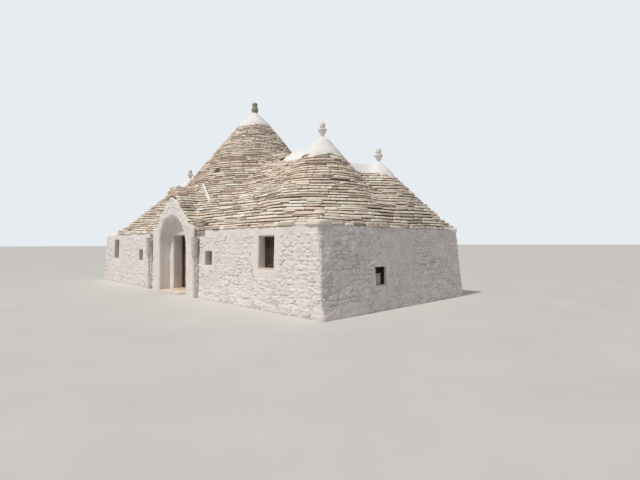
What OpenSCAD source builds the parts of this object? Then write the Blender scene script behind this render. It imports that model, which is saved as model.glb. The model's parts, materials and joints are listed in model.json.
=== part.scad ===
// Trullo house: a long whitewashed rubble house with an arched gable
// porch in the middle of the front and four stone cones on the roof.
// Millimetres, +Z up, front to -Y. The origin lies on the ground under
// the middle of the wall plan.

/* [Walls] */
// Length of the house over the wall foot
house_len = 14800; // [13000:100:17000]
// Depth of the house over the wall foot
house_dep = 6100; // [5600:50:7000]
// Height of the wall top, where the roof slabs begin
wall_h = 2060; // [1950:10:2400]
// How far the front and back faces lean in at the top
batter = 55; // [30:5:120]
// How far the end faces lean in at the top
end_batter = 200; // [100:10:260]
// Thickness of the walls at the foot
wall_t = 900; // [700:20:1000]
// Height of the floor inside
floor_z = 80; // [50:5:120]

/* [Portal] */
// Middle of the portal, measured from the middle of the house
portal_x = 140; // [-100:10:300]
// Half width of the portal block
portal_half = 1570; // [1500:10:1700]
// How far the portal stands in front of the wall foot
portal_out = 80; // [40:5:150]
// Radius of the niche arch
arch_r = 1045; // [950:5:1100]
// Height of the arch springing
spring_z = 1560; // [1450:10:1650]
// Depth of the niche behind the wall foot plane
niche_deep = 310; // [250:10:360]
// Height of the gable point above the wall top
gable_rise = 1180; // [1100:10:1300]
// Thickness of the gable wall above the eave
gable_t = 450; // [380:10:500]
// Height of the rough stone coping on the gable
coping_h = 230; // [150:10:280]

/* [Door] */
// Middle of the doorway, measured from the middle of the house
door_x = -40; // [-100:10:200]
// Clear width of the doorway in the niche wall
door_w = 1050; // [950:10:1150]
// Height of the doorway above the ground
door_top = 1950; // [1850:10:2000]
// Thickness of the door leaf
leaf_t = 45; // [38:1:55]
// Width of the door posts seen from the front
post_w = 52; // [45:1:65]

/* [Windows] */
// Middle of the row of windows, measured from the middle of the house
row_x = -235; // [-400:5:0]
// Distance of the large windows from the middle of the row
win_x = 5583; // [5400:1:5700]
// Width of the large windows
win_w = 635; // [550:5:720]
// Height of the large window sills above the ground
win_z = 1010; // [900:10:1080]
// Height of the large windows
win_h = 830; // [700:10:880]
// Distance of the small windows from the middle of the row
small_x = 2693; // [2500:1:3000]
// Side of the small square windows
small_w = 420; // [360:5:460]
// Depth of the window frames behind the wall face
reveal = 200; // [150:5:260]

/* [Roof] */
// Height of the point of the tall cone above the wall top
tall_rise = 4890; // [4500:10:5200]
// Height of the point of the front right cone above the wall top
front_rise = 2800; // [2600:10:3000]
// Height of the point of the back right cone above the wall top
back_rise = 2160; // [2000:10:2400]
// Height of the point of the left cone above the wall top
left_rise = 2740; // [2500:10:3000]
// Height of the ridge from the tall to the left cone above the wall top
ridge_left = 2310; // [2200:10:2450]
// Height of the front ridge above the wall top, under the tall cone
ridge_high = 3220; // [3000:10:3400]
// Height of the same ridge above the wall top, at the front right cone
ridge_low = 2320; // [2200:10:2450]
// Height of the ridge between the two right cones above the wall top
ridge_back = 2040; // [1900:10:2200]
// Height of the hidden ridge behind the tall cone above the wall top
ridge_rear = 1890; // [1750:10:2000]
// Thickness of the roof slabs at the eave
eave_t = 95; // [70:5:120]
// How far the eave slabs stand over the wall top
eave_out = 10; // [0:5:60]

/* [Rainwater] */
// Diameter of the two rainwater pipes
pipe_d = 100; // [80:2:120]
// Diameter of the wide upper length of each pipe
hopper_d = 190; // [150:5:210]
// Height of the lower end of the wide length
hopper_z = 1150; // [1000:10:1300]

/* [Hidden] */
half_l = house_len / 2;
half_d = house_dep / 2;
room_x = half_l - wall_t;
room_y = half_d - wall_t;
front_y = -half_d - portal_out;
niche_y = -half_d + niche_deep;
gable_back = front_y + gable_t;

// cone axes
cone_in_b = 2550;
cone_in_c = 1800;
cone_in_d = 2600;
ax = -130;
ay = 450;
bx = half_l - cone_in_b;
by = -580;
cx = half_l - cone_in_c;
cy = 1150;
dx = -half_l + cone_in_d;
dy = -50;

// heights of the cone points
cone_a_z = wall_h + tall_rise;
cone_b_z = wall_h + front_rise;
cone_c_z = wall_h + back_rise;
cone_d_z = wall_h + left_rise;

// radius and drop below the point, along each cone from its top
form_a = [[0, 0], [650, 620], [3100, 3680], [6000, 6290]];
form_b = [[0, 0], [220, 170], [380, 410], [560, 610], [1090, 1250],
    [1220, 1530], [1450, 1910], [4000, 4205]];
form_c = [[0, 0], [190, 190], [370, 410], [470, 540], [1070, 1140],
    [1440, 1510], [1750, 1770], [4000, 3345]];
slope_d = 0.88;

// side slopes of the ridges
slope_side = 0.88;
slope_back = 1.2;
slope_rear = 0.85;

// gable outline: foot, shoulder, haunch and neck up to the point
gable_z = wall_h + gable_rise;
foot_z = wall_h + 120;
shoulder_x = 1170;
shoulder_z = wall_h + 220;
haunch_x = 930;
haunch_z = wall_h + 510;
neck_x = 450;
neck_drop = 230;
neck_z = gable_z - neck_drop;
gable_side = [[portal_half, foot_z], [shoulder_x, shoulder_z], [haunch_x, haunch_z],
    [neck_x, neck_z], [0, gable_z]];

// clay step in front of the niche
step_left = 700;
step_right = 620;
step_out = 90;

// porch roof over the gable and how far to the sides it is felt
porch_up = 200;
porch_reach = 2600;
porch_join = 12;

// planes where one roof piece meets the next
cut_left = -2900;
cut_right = 2950;
cut_back = 420;

// half sides of the roof plan and its corner radii, right and left
eave_x = half_l - end_batter + eave_out;
eave_y = half_d - batter + eave_out;
corner_r = 500;
corner_left = 1600;

// radius of the whitewashed point of each cone
cap_a = 500;
cap_b = 600;
cap_c = 500;
cap_d = 520;

// radius of the flat seat under a pinnacle
foot_a = 125;
foot_r = 85;

// radius of each vault and how far its crown lies under the cone point
vault_a = 1650;
vault_b = 930;
vault_c = 660;
vault_d = 1650;
under_a = 1500;
under_b = 1000;
under_c = 850;
under_d = 700;

// roof slope just above the eave and the depth of the steep band
hip_slope = 1.8;
hip_band = 800;

// width of the soft joint between roof forms
soft = 300;

// spacing of the roof mesh along a rim
step = 305;

// broad ledges where the slab courses step out, level all round the roof
ledge_first = 345;
ledge_h = 500;
ledge_up = 15;
ledge_dn = 35;
ledge_half = 8;

// door hinge line, leaf and its gaps
leaf_gap = 6;
leaf_back = 12;
hinge_x = door_x - door_w / 2 + post_w - 4;
hinge_y = niche_y + 390;
leaf_w = door_w - 2 * post_w - 10;
leaf_z = floor_z + leaf_gap;
leaf_top = door_top - 60;

// face of the window frames and the width of their wood
win_y = -half_d + batter / 2 + reveal;
rail_w = 60;
stile_w = 18;
sill_in = 25;
small_rail = 45;

// meter niche in the right wall
meter_y0 = -half_d + 1860;
meter_y1 = -half_d + 2300;
meter_z0 = 610;
meter_z1 = 1070;
meter_deep = 330;

// pipes beside the portal: places, top, length of the taper, and the clips
// whose arms end at the wall face
pipe_right = portal_x + portal_half + 140;
pipe_left = portal_x - portal_half - 330;
pipe_y = -half_d - 70 - pipe_d / 2;
pipe_top = 1890;
hopper_taper = 200;
clip_h = 30;
clip_t = 5;
clip_arm = 24;
clip_gap = 0.3;

// plaster kerb at the foot of the near corner
kerb_front = 300;
kerb_side = 1500;
kerb_out = 40;
kerb_h = 220;

// rough slabs on the shoulders of the portal, outside the coping
slab_in = shoulder_x + 130;
slab_h = 125;

stone_grey = [0.62, 0.58, 0.51];
stone_cream = [0.75, 0.68, 0.56];
whitewash = [0.93, 0.92, 0.89];
wood_dark = [0.22, 0.15, 0.11];
iron = [0.12, 0.11, 0.11];
glass = [0.20, 0.22, 0.23];
pipe_grey = [0.80, 0.79, 0.76];
clay = [0.72, 0.52, 0.38];
meter_tan = [0.66, 0.57, 0.44];

// soft larger of two heights
function soft_max(a, b) =
    let (t = max(soft - abs(a - b), 0) / soft)
    max(a, b) + t * t * soft / 4;

// soft smaller of two heights
function soft_min(a, b) =
    let (t = max(soft - abs(a - b), 0) / soft)
    min(a, b) - t * t * soft / 4;

function cone_a(r) = cone_a_z - lookup(r, form_a);

function cone_b(r) = cone_b_z - lookup(r, form_b);

function cone_c(r) = cone_c_z - lookup(r, form_c);

function cone_d(r) = cone_d_z - slope_d * r;

// height of a ridge between two cones, its crest at z0 and z1, with even sides
function ridge(x, y, x0, y0, x1, y1, z0, z1, slope) =
    let (
        lx = x1 - x0,
        ly = y1 - y0,
        t = max(0, min(1, ((x - x0) * lx + (y - y0) * ly) / (lx * lx + ly * ly))))
    z0 + (z1 - z0) * t - slope * norm([x - x0 - t * lx, y - y0 - t * ly]);

// height over the edge of the roof plan
function hip(x, y) =
    let (
        r = x < 0 ? corner_left : corner_r,
        qx = abs(x) - eave_x + r,
        qy = abs(y) - eave_y + r,
        d = norm([max(qx, 0), max(qy, 0)]) + min(max(qx, qy), 0) - r)
    wall_h + eave_t - hip_slope * d + 0.002 * pow(max(-d - hip_band, 0), 2);

// height of the porch roof behind the gable
function porch(x) = gable_z + porch_up - lookup(abs(x - portal_x), [
    [0, 0], [neck_x, neck_drop + 10], [haunch_x, gable_z - haunch_z + 10],
    [shoulder_x, gable_z - shoulder_z + 10], [portal_half, gable_z - foot_z + 440],
    [portal_half + 2330, gable_z - foot_z + 4940]]);

function cones(x, y) =
    soft_max(soft_max(cone_a(norm([x - ax, y - ay])),
        cone_b(norm([x - bx, y - by]))),
        soft_max(cone_c(norm([x - cx, y - cy])),
            cone_d(norm([x - dx, y - dy]))));

function ridges(x, y) =
    let (
        top = wall_h,
        front = ridge(x, y, ax, ay, bx, by, top + ridge_high, top + ridge_low, slope_side),
        back = ridge(x, y, bx, by, cx, cy, top + ridge_back, top + ridge_back, slope_back),
        left = ridge(x, y, ax, ay, dx, dy, top + ridge_left, top + ridge_left, slope_side),
        rear = ridge(x, y, ax, ay, cx, cy, top + ridge_rear, top + ridge_rear, slope_rear))
    soft_max(soft_max(front, back), soft_max(left, rear));

function roof_z(x, y) =
    let (
        body = soft_min(hip(x, y), soft_max(cones(x, y), ridges(x, y))),
        low = max(body, wall_h + 40))
    (y < ay && abs(x - portal_x) < porch_reach)
        ? max(low, soft_max(low, porch(x)) - porch_join)
        : low;

// points along one side, evenly spread, without the last
function side(p, q) =
    let (n = max(1, round(norm(q - p) / step)))
    [for (i = [0 : n - 1]) p + (q - p) * i / n];

// a ring of points at one share of the way from a plug edge to the rim
function ring(rim, c, r, t) = [for (p = rim)
    let (
        l = norm(p - c),
        q = c + (p - c) * (r + (l - r) * t) / l)
    [q[0], q[1], roof_z(q[0], q[1])]];

// heights of the ledges that lie under a given height, from the top down
function levels(top) = [for (k = [20 : -1 : 0])
    let (z = wall_h + eave_t + ledge_first + k * ledge_h)
    if (z < top - 150) z];

// share of the way from a plug edge to the rim where the roof falls to a level
function reach(p, c, r, level, lo, hi, n) =
    let (
        l = norm(p - c),
        m = (lo + hi) / 2,
        q = c + (p - c) * (r + (l - r) * m) / l)
    n == 0 ? m
        : roof_z(q[0], q[1]) > level ? reach(p, c, r, level, m, hi, n - 1)
        : reach(p, c, r, level, lo, m, n - 1);

// the roof surface along one line from the plug edge to a rim point: two points
// at each ledge that the line reaches, the rest spread out beyond the last one
function roof_line(p, c, r, lv) =
    let (
        l = norm(p - c),
        e = ledge_half / (l - r),
        z_end = roof_z(p[0], p[1]),
        hits = [for (z = lv) if (z_end < z - 60) reach(p, c, r, z, 0, 1, 12)],
        m = len(hits),
        last = m == 0 ? 0 : hits[m - 1] + e,
        free = 2 * (len(lv) - m) + 1,
        cut = [for (k = [0 : 1 : m - 1]) for (h = [-1, 1]) hits[k] + h * e],
        rest = [for (k = [1 : 1 : free]) last + (1 - last) * k / free],
        ts = concat([0], cut, rest))
    [for (i = [0 : len(ts) - 1])
        let (
            q = c + (p - c) * (r + (l - r) * ts[i]) / l,
            k = floor((i - 1) / 2),
            z = (i == 0 || i > 2 * m) ? roof_z(q[0], q[1])
                : (i % 2 == 1) ? lv[k] + ledge_up : lv[k] - ledge_dn)
        [q[0], q[1], z]];

// a level ring at radius r
function level_ring(rim, c, r, z) = [for (p = rim)
    let (q = c + (p - c) * r / norm(p - c))
    [q[0], q[1], z]];

// triangles between ring i and the next one out
function band(n, i) = [for (j = [0 : n - 1])
    for (h = [0, 1])
        let (
            a = i * n + j,
            b = i * n + (j + 1) % n)
        h == 0 ? [a, b, b + n] : [a, b + n, a + n]];

function lid(n, i) = [for (j = [0 : n - 1]) i * n + n - 1 - j];

function under(n, i) = [for (j = [0 : n - 1]) i * n + j];

function lowest(ring_pts) = min([for (p = ring_pts) p[2]]);

// level of the seat of a whitewashed point
function seat_z(rim, c, r) = lowest(ring(rim, c, r, 0)) - 40;

// the slab roof round one cone, hollow under the cone
module roof_shell(rim, c, r_cap, r_dome, z_dome) {
    n = len(rim);
    z0 = seat_z(rim, c, r_cap);
    hd = z_dome - wall_h;
    lv = levels(z0);
    lines = [for (p = rim) roof_line(p, c, r_cap, lv)];
    rings = 2 * len(lv) + 1;
    outer = [for (i = [0 : rings]) for (j = [0 : n - 1]) lines[j][i]];
    base = [for (p = rim) [p[0], p[1], wall_h]];
    pts = concat(level_ring(rim, c, r_cap, z0), outer, base,
        level_ring(rim, c, r_dome, wall_h),
        level_ring(rim, c, r_dome * 0.93, wall_h + hd * 0.25),
        level_ring(rim, c, r_dome * 0.75, wall_h + hd * 0.5),
        level_ring(rim, c, r_dome * 0.42, wall_h + hd * 0.8),
        level_ring(rim, c, r_dome * 0.12, z_dome));
    faces = concat([lid(n, 0)], [for (i = [0 : rings + 6]) each band(n, i)],
        [under(n, rings + 7)]);
    polyhedron(points = pts, faces = faces);
}

// height of the flat top of a whitewashed point
function top_z(rim, c, r) = lowest(ring(rim, c, r, 0));

// the whitewashed point of one cone, flat where the pinnacle stands
module roof_cap(rim, c, r_top, r_cap) {
    n = len(rim);
    z0 = seat_z(rim, c, r_cap);
    slope = [for (k = [1 : 4]) each ring(rim, c, r_top + (r_cap - r_top) * k / 4, 0)];
    pts = concat(level_ring(rim, c, r_top, top_z(rim, c, r_top)), slope,
        level_ring(rim, c, r_cap, z0));
    polyhedron(points = pts, faces = concat([lid(n, 0)],
        [for (i = [0 : 4]) each band(n, i)], [under(n, 5)]));
}

// a wall block whose chosen faces lean in
module block(x0, x1, y0, y1, z0, z1, lx0, lx1, ly0, ly1) {
    polyhedron(
        points = [[x0, y0, z0], [x1, y0, z0], [x1, y1, z0], [x0, y1, z0],
            [x0 + lx0, y0 + ly0, z1], [x1 - lx1, y0 + ly0, z1],
            [x1 - lx1, y1 - ly1, z1], [x0 + lx0, y1 - ly1, z1]],
        faces = [[0, 1, 2, 3], [4, 7, 6, 5], [0, 4, 5, 1], [1, 5, 6, 2],
            [2, 6, 7, 3], [3, 7, 4, 0]]);
}

module box(x0, x1, y0, y1, z0, z1) {
    translate([x0, y0, z0])
        cube([x1 - x0, y1 - y0, z1 - z0]);
}

module window_cut(x, w, z, h) {
    box(x - w / 2, x + w / 2, -half_d - 50, -room_y + 50, z, z + h);
}

module floor_slab() {
    color(stone_cream)
        box(-room_x, room_x, -room_y, room_y, 0, floor_z);
}

module front_wall_right() {
    color(whitewash)
        difference() {
            block(portal_x + portal_half, half_l, -half_d, -room_y, 0, wall_h,
                0, end_batter, batter, 0);
            window_cut(row_x + win_x, win_w, win_z, win_h);
            window_cut(row_x + small_x, small_w, win_z, small_w);
        }
}

module front_wall_left() {
    color(whitewash)
        difference() {
            block(-half_l, portal_x - portal_half, -half_d, -room_y, 0, wall_h,
                end_batter, 0, batter, 0);
            window_cut(row_x - win_x, win_w, win_z, win_h);
            window_cut(row_x - small_x, small_w, win_z, small_w);
        }
}

module right_wall() {
    color(whitewash)
        difference() {
            block(room_x, half_l, -room_y, room_y, 0, wall_h, 0, end_batter, 0, 0);
            box(half_l - meter_deep, half_l + 50, meter_y0, meter_y1, meter_z0, meter_z1);
        }
}

module left_wall() {
    color(whitewash)
        block(-half_l, -room_x, -room_y, room_y, 0, wall_h, end_batter, 0, 0, 0);
}

module back_wall() {
    color(whitewash)
        block(-half_l, half_l, room_y, half_d, 0, wall_h, end_batter, end_batter, 0,
            batter);
}

module pier(s) {
    xa = portal_x + s * portal_half;
    xb = portal_x + s * arch_r;
    xc = door_x + s * door_w / 2;
    box(min(xa, xb), max(xa, xb), front_y, -room_y, 0, spring_z);
    box(min(xb, xc), max(xb, xc), niche_y, -room_y, 0, spring_z);
}

module portal_pier_right() {
    color(whitewash)
        pier(1);
}

module portal_pier_left() {
    color(whitewash)
        pier(-1);
}

// a half outline followed by its mirror image, back to the start side
function both_sides(pts) = concat(pts,
    [for (i = [len(pts) - 2 : -1 : 0]) [-pts[i][0], pts[i][1]]]);

// the arched head of the portal with its small gable
module portal_head() {
    color(whitewash)
        difference() {
            translate([portal_x, gable_back, 0])
                rotate([90, 0, 0])
                    linear_extrude(height = gable_t)
                        polygon(concat([[-portal_half, spring_z], [portal_half, spring_z]],
                            both_sides(gable_side)));
            translate([portal_x, niche_y, spring_z])
                rotate([90, 0, 0])
                    cylinder(r = arch_r, h = 600, $fn = 96);
            box(door_x - door_w / 2, door_x + door_w / 2, front_y - 50,
                -room_y + 50, spring_z - 50, door_top);
        }
    color(whitewash)
        difference() {
            box(portal_x - portal_half, portal_x + portal_half, gable_back,
                -room_y, spring_z, wall_h);
            box(door_x - door_w / 2, door_x + door_w / 2, front_y - 50,
                -room_y + 50, spring_z - 50, door_top);
        }
}

// rough stone coping that follows the gable from shoulder to shoulder
module gable_coping() {
    inner = both_sides([for (i = [1 : len(gable_side) - 1]) gable_side[i]]);
    outer = both_sides([[shoulder_x + 120, shoulder_z + 100],
        [haunch_x + 80, haunch_z + coping_h * 0.7],
        [neck_x + 30, neck_z + coping_h * 0.9], [130, gable_z + coping_h]]);
    last = len(outer) - 1;
    color(stone_cream)
        translate([portal_x, gable_back - 10, 0])
            rotate([90, 0, 0])
                linear_extrude(height = gable_t + 30)
                    polygon(concat(inner, [for (i = [last : -1 : 0]) outer[i]]));
}

module threshold() {
    color(clay)
        box(portal_x - step_left, portal_x + step_right, front_y - step_out, niche_y, 0,
            floor_z - 15);
    color(stone_cream)
        box(door_x - door_w / 2, door_x + door_w / 2, niche_y, -room_y, 0, floor_z);
}

notch_y = gable_back;
notch_k = (ay + eave_y) / (ay - notch_y);
notch_r = ax + (portal_x + portal_half - ax) * notch_k + 40;
notch_l = ax + (portal_x - portal_half - ax) * notch_k - 40;

rim_a = concat(side([cut_left, -eave_y], [notch_l, -eave_y]),
    side([notch_l, -eave_y], [portal_x - portal_half, notch_y]),
    side([portal_x - portal_half, notch_y], [portal_x + portal_half, notch_y]),
    side([portal_x + portal_half, notch_y], [notch_r, -eave_y]),
    side([notch_r, -eave_y], [cut_right, -eave_y]),
    side([cut_right, -eave_y], [cut_right, cut_back]),
    side([cut_right, cut_back], [cut_right, eave_y]),
    side([cut_right, eave_y], [cut_left, eave_y]),
    side([cut_left, eave_y], [cut_left, -eave_y]));

rim_b = concat(side([cut_right, -eave_y], [eave_x, -eave_y]),
    side([eave_x, -eave_y], [eave_x, cut_back]),
    side([eave_x, cut_back], [cut_right, cut_back]),
    side([cut_right, cut_back], [cut_right, -eave_y]));

rim_c = concat(side([cut_right, cut_back], [eave_x, cut_back]),
    side([eave_x, cut_back], [eave_x, eave_y]),
    side([eave_x, eave_y], [cut_right, eave_y]),
    side([cut_right, eave_y], [cut_right, cut_back]));

rim_d = concat(side([-eave_x, -eave_y], [cut_left, -eave_y]),
    side([cut_left, -eave_y], [cut_left, eave_y]),
    side([cut_left, eave_y], [-eave_x, eave_y]),
    side([-eave_x, eave_y], [-eave_x, -eave_y]));

module roof_tall_cone() {
    color(stone_grey)
        roof_shell(rim_a, [ax, ay], cap_a, vault_a, cone_a_z - under_a);
}

module roof_front_cone() {
    color(stone_grey)
        roof_shell(rim_b, [bx, by], cap_b, vault_b, cone_b_z - under_b);
}

module roof_back_cone() {
    color(stone_grey)
        roof_shell(rim_c, [cx, cy], cap_c, vault_c, cone_c_z - under_c);
}

module roof_left_cone() {
    color(stone_grey)
        roof_shell(rim_d, [dx, dy], cap_d, vault_d, cone_d_z - under_d);
}

module cap_tall_cone() {
    color(whitewash)
        roof_cap(rim_a, [ax, ay], foot_a, cap_a);
}

module cap_front_cone() {
    color(whitewash)
        roof_cap(rim_b, [bx, by], foot_r, cap_b);
}

module cap_back_cone() {
    color(whitewash)
        roof_cap(rim_c, [cx, cy], foot_r, cap_c);
}

module cap_left_cone() {
    color(whitewash)
        roof_cap(rim_d, [dx, dy], foot_r, cap_d);
}

module pinnacle(px, py, z) {
    translate([px, py, z])
        rotate_extrude($fn = 48)
            polygon([[0, 0], [foot_r - 8, 0], [62, 60], [50, 150], [52, 190],
                [92, 214], [152, 262], [155, 280], [120, 296], [58, 306],
                [70, 322], [90, 350], [97, 384], [90, 420], [68, 450], [36, 468],
                [0, 474]]);
}

module pinnacle_tall() {
    color(stone_grey)
        translate([ax, ay, top_z(rim_a, [ax, ay], foot_a)])
            rotate_extrude($fn = 48)
                polygon([[0, 0], [foot_a - 10, 0], [98, 90], [104, 150], [160, 190],
                    [184, 260], [180, 345], [150, 400], [112, 418], [106, 470],
                    [0, 476]]);
}

module pinnacle_front() {
    color(whitewash)
        pinnacle(bx, by, top_z(rim_b, [bx, by], foot_r));
}

module pinnacle_back() {
    color(whitewash)
        pinnacle(cx, cy, top_z(rim_c, [cx, cy], foot_r));
}

module pinnacle_left() {
    color(whitewash)
        pinnacle(dx, dy, top_z(rim_d, [dx, dy], foot_r));
}

module door_frame() {
    color(wood_dark)
        difference() {
            box(door_x - door_w / 2, door_x + door_w / 2, hinge_y - 85,
                hinge_y - 17, floor_z, door_top);
            box(door_x - door_w / 2 + post_w, door_x + door_w / 2 - post_w,
                hinge_y - 63, hinge_y, floor_z - 10, leaf_top + 6);
            box(door_x - door_w / 2 + post_w + 18, door_x + door_w / 2 - post_w - 18,
                hinge_y - 100, hinge_y, floor_z - 10, leaf_top - 14);
        }
}

module door_leaf() {
    color(wood_dark)
        box(hinge_x + 10, hinge_x + leaf_w, hinge_y - 12 - leaf_t, hinge_y - 12,
            leaf_z, leaf_top);
}

module door_straps() {
    color(iron)
        for (z = [leaf_z + 250, leaf_top - 350])
            difference() {
                union() {
                    box(hinge_x, hinge_x + 620, hinge_y - 12, hinge_y - 7, z, z + 44);
                    translate([hinge_x, hinge_y, z])
                        cylinder(r = 12, h = 44, $fn = 48);
                }
                translate([hinge_x, hinge_y, z - 5])
                    cylinder(r = 7, h = 60, $fn = 48);
            }
}

module door_pintles() {
    color(iron)
        for (z = [leaf_z + 250, leaf_top - 350]) {
            translate([hinge_x, hinge_y, z - 20])
                cylinder(r = 6, h = 70, $fn = 48);
            translate([hinge_x, hinge_y, z - 20])
                cylinder(r = 10, h = 18, $fn = 48);
            box(hinge_x - 40, hinge_x, hinge_y - 17, hinge_y + 6, z - 20, z - 2);
        }
}

module door_pull() {
    color(iron)
        translate([hinge_x + leaf_w - 90, hinge_y - 12 - leaf_t, 1060])
            rotate([90, 0, 0]) {
                cylinder(r = 28, h = 4, $fn = 32);
                cylinder(r = 9, h = 26, $fn = 32);
                translate([0, 0, 26])
                    cylinder(r = 19, h = 12, $fn = 32);
            }
}

// a pair of window leaves seen as one frame with a middle post
module casement(x, w, z, h) {
    difference() {
        box(x - w / 2, x + w / 2, win_y, win_y + 60, z, z + h);
        box(x - w / 2 + rail_w, x - stile_w, win_y - 10, win_y + 70, z + rail_w,
            z + h - rail_w);
        box(x + stile_w, x + w / 2 - rail_w, win_y - 10, win_y + 70, z + rail_w,
            z + h - rail_w);
    }
}

module pane(x, w, z, h) {
    box(x - w / 2 + rail_w, x - stile_w, win_y + 26, win_y + 32, z + rail_w,
        z + h - rail_w);
    box(x + stile_w, x + w / 2 - rail_w, win_y + 26, win_y + 32, z + rail_w,
        z + h - rail_w);
}

module window_frame_right() {
    color(wood_dark)
        casement(row_x + win_x, win_w, win_z, win_h);
}

module window_frame_left() {
    color(wood_dark)
        casement(row_x - win_x, win_w, win_z, win_h);
}

module window_glass_right() {
    color(glass)
        pane(row_x + win_x, win_w, win_z, win_h);
}

module window_glass_left() {
    color(glass)
        pane(row_x - win_x, win_w, win_z, win_h);
}

// stone sills under the two large windows
module window_sills() {
    color(stone_cream)
        for (s = [-1, 1])
            intersection() {
                box(row_x + s * win_x - win_w / 2, row_x + s * win_x + win_w / 2,
                    -half_d, win_y, win_z, win_z + 30);
                box(-half_l, half_l, -half_d + sill_in, 0, 0, wall_h);
            }
}

module small_window_frames() {
    color(wood_dark)
        for (s = [-1, 1])
            difference() {
                box(row_x + s * small_x - small_w / 2, row_x + s * small_x + small_w / 2,
                    win_y, win_y + 50, win_z, win_z + small_w);
                box(row_x + s * small_x - small_w / 2 + small_rail,
                    row_x + s * small_x + small_w / 2 - small_rail,
                    win_y - 10, win_y + 60, win_z + small_rail, win_z + small_w - small_rail);
            }
}

module small_window_glass() {
    color(glass)
        for (s = [-1, 1])
            box(row_x + s * small_x - small_w / 2 + small_rail,
                row_x + s * small_x + small_w / 2 - small_rail,
                win_y + 22, win_y + 28, win_z + small_rail, win_z + small_w - small_rail);
}

module meter_cabinet() {
    color(meter_tan)
        box(half_l - meter_deep, half_l - meter_deep + 100, meter_y0, meter_y1, meter_z0,
            meter_z0 + 290);
    color(meter_tan)
        translate([half_l - meter_deep + 100, (meter_y0 + meter_y1) / 2, meter_z0 + 180])
            rotate([0, 90, 0])
                cylinder(r = 62, h = 30, $fn = 48);
}

// rough slabs that lie on the sloping shoulders beside the coping
module shoulder_stones() {
    slope = (shoulder_z - foot_z) / (portal_half - shoulder_x);
    z_in = foot_z + (portal_half - slab_in) * slope;
    color(stone_cream)
        for (s = [-1, 1])
            translate([portal_x, gable_back - 5, 0])
                rotate([90, 0, 0])
                    linear_extrude(height = gable_t + 20)
                        polygon([[s * portal_half, foot_z], [s * slab_in, z_in],
                            [s * (slab_in + 15), z_in + slab_h * 0.8],
                            [s * (slab_in + 160), z_in + slab_h],
                            [s * (portal_half - 5), foot_z + slab_h]]);
}

// rainwater pipes, wide above and narrow below
module rain_pipes() {
    color(pipe_grey)
        for (x = [pipe_left, pipe_right])
            translate([x, pipe_y, 0])
                rotate_extrude($fn = 48)
                    polygon([[0, 0], [pipe_d / 2, 0], [pipe_d / 2, hopper_z],
                        [hopper_d / 2, hopper_z + hopper_taper],
                        [hopper_d / 2, pipe_top], [0, pipe_top]]);
}

module pipe_clips() {
    color(pipe_grey)
        for (x = [pipe_left, pipe_right])
            for (z = [hopper_z * 0.4, hopper_z * 0.85]) {
                difference() {
                    translate([x, pipe_y, z])
                        cylinder(r = pipe_d / 2 + clip_t, h = clip_h, $fn = 48);
                    translate([x, pipe_y, z - 5])
                        cylinder(r = pipe_d / 2, h = clip_h + 10, $fn = 48);
                }
                box(x - clip_arm / 2, x + clip_arm / 2, pipe_y + pipe_d / 2 + clip_t / 2,
                    -half_d + batter * z / wall_h - clip_gap, z, z + clip_h);
            }
}

// low plaster kerb round the foot of the near corner
module wall_kerb() {
    color(whitewash)
        difference() {
            block(half_l - kerb_front, half_l + kerb_out, -half_d - kerb_out,
                -half_d + kerb_side, 0, kerb_h, 0, kerb_out - 10, kerb_out - 10, 0);
            block(-half_l, half_l, -half_d, half_d, 0, wall_h, 0, end_batter, batter, 0);
        }
}

floor_slab();
front_wall_right();
front_wall_left();
right_wall();
left_wall();
back_wall();
portal_pier_right();
portal_pier_left();
portal_head();
gable_coping();
threshold();
roof_tall_cone();
roof_front_cone();
roof_back_cone();
roof_left_cone();
cap_tall_cone();
cap_front_cone();
cap_back_cone();
cap_left_cone();
pinnacle_tall();
pinnacle_front();
pinnacle_back();
pinnacle_left();
door_frame();
door_leaf();
door_straps();
door_pintles();
door_pull();
window_frame_right();
window_frame_left();
window_glass_right();
window_glass_left();
window_sills();
small_window_frames();
small_window_glass();
meter_cabinet();
shoulder_stones();
rain_pipes();
pipe_clips();
wall_kerb();
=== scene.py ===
import json
import math
from itertools import product

import bpy
import numpy as np
from mathutils import Matrix, Vector

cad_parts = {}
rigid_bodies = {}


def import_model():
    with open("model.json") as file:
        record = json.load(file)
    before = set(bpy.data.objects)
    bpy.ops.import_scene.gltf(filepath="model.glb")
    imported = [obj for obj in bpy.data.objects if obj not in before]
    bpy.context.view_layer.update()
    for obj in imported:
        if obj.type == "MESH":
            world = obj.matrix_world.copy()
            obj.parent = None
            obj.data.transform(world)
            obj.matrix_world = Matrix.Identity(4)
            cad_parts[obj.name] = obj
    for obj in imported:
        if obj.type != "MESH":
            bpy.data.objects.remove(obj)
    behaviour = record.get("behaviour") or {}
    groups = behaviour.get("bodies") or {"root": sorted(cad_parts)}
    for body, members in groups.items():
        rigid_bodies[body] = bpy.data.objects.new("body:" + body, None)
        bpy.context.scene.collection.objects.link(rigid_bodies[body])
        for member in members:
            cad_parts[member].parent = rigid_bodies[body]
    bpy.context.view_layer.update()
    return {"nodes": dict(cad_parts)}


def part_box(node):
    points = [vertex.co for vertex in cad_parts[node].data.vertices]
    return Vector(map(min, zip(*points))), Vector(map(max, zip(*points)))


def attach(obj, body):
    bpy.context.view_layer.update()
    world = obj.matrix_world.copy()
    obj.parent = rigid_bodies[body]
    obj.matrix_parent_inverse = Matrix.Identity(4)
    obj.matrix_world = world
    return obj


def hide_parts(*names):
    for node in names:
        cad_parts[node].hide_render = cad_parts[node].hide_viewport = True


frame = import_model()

rng = np.random.default_rng(7)

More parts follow.
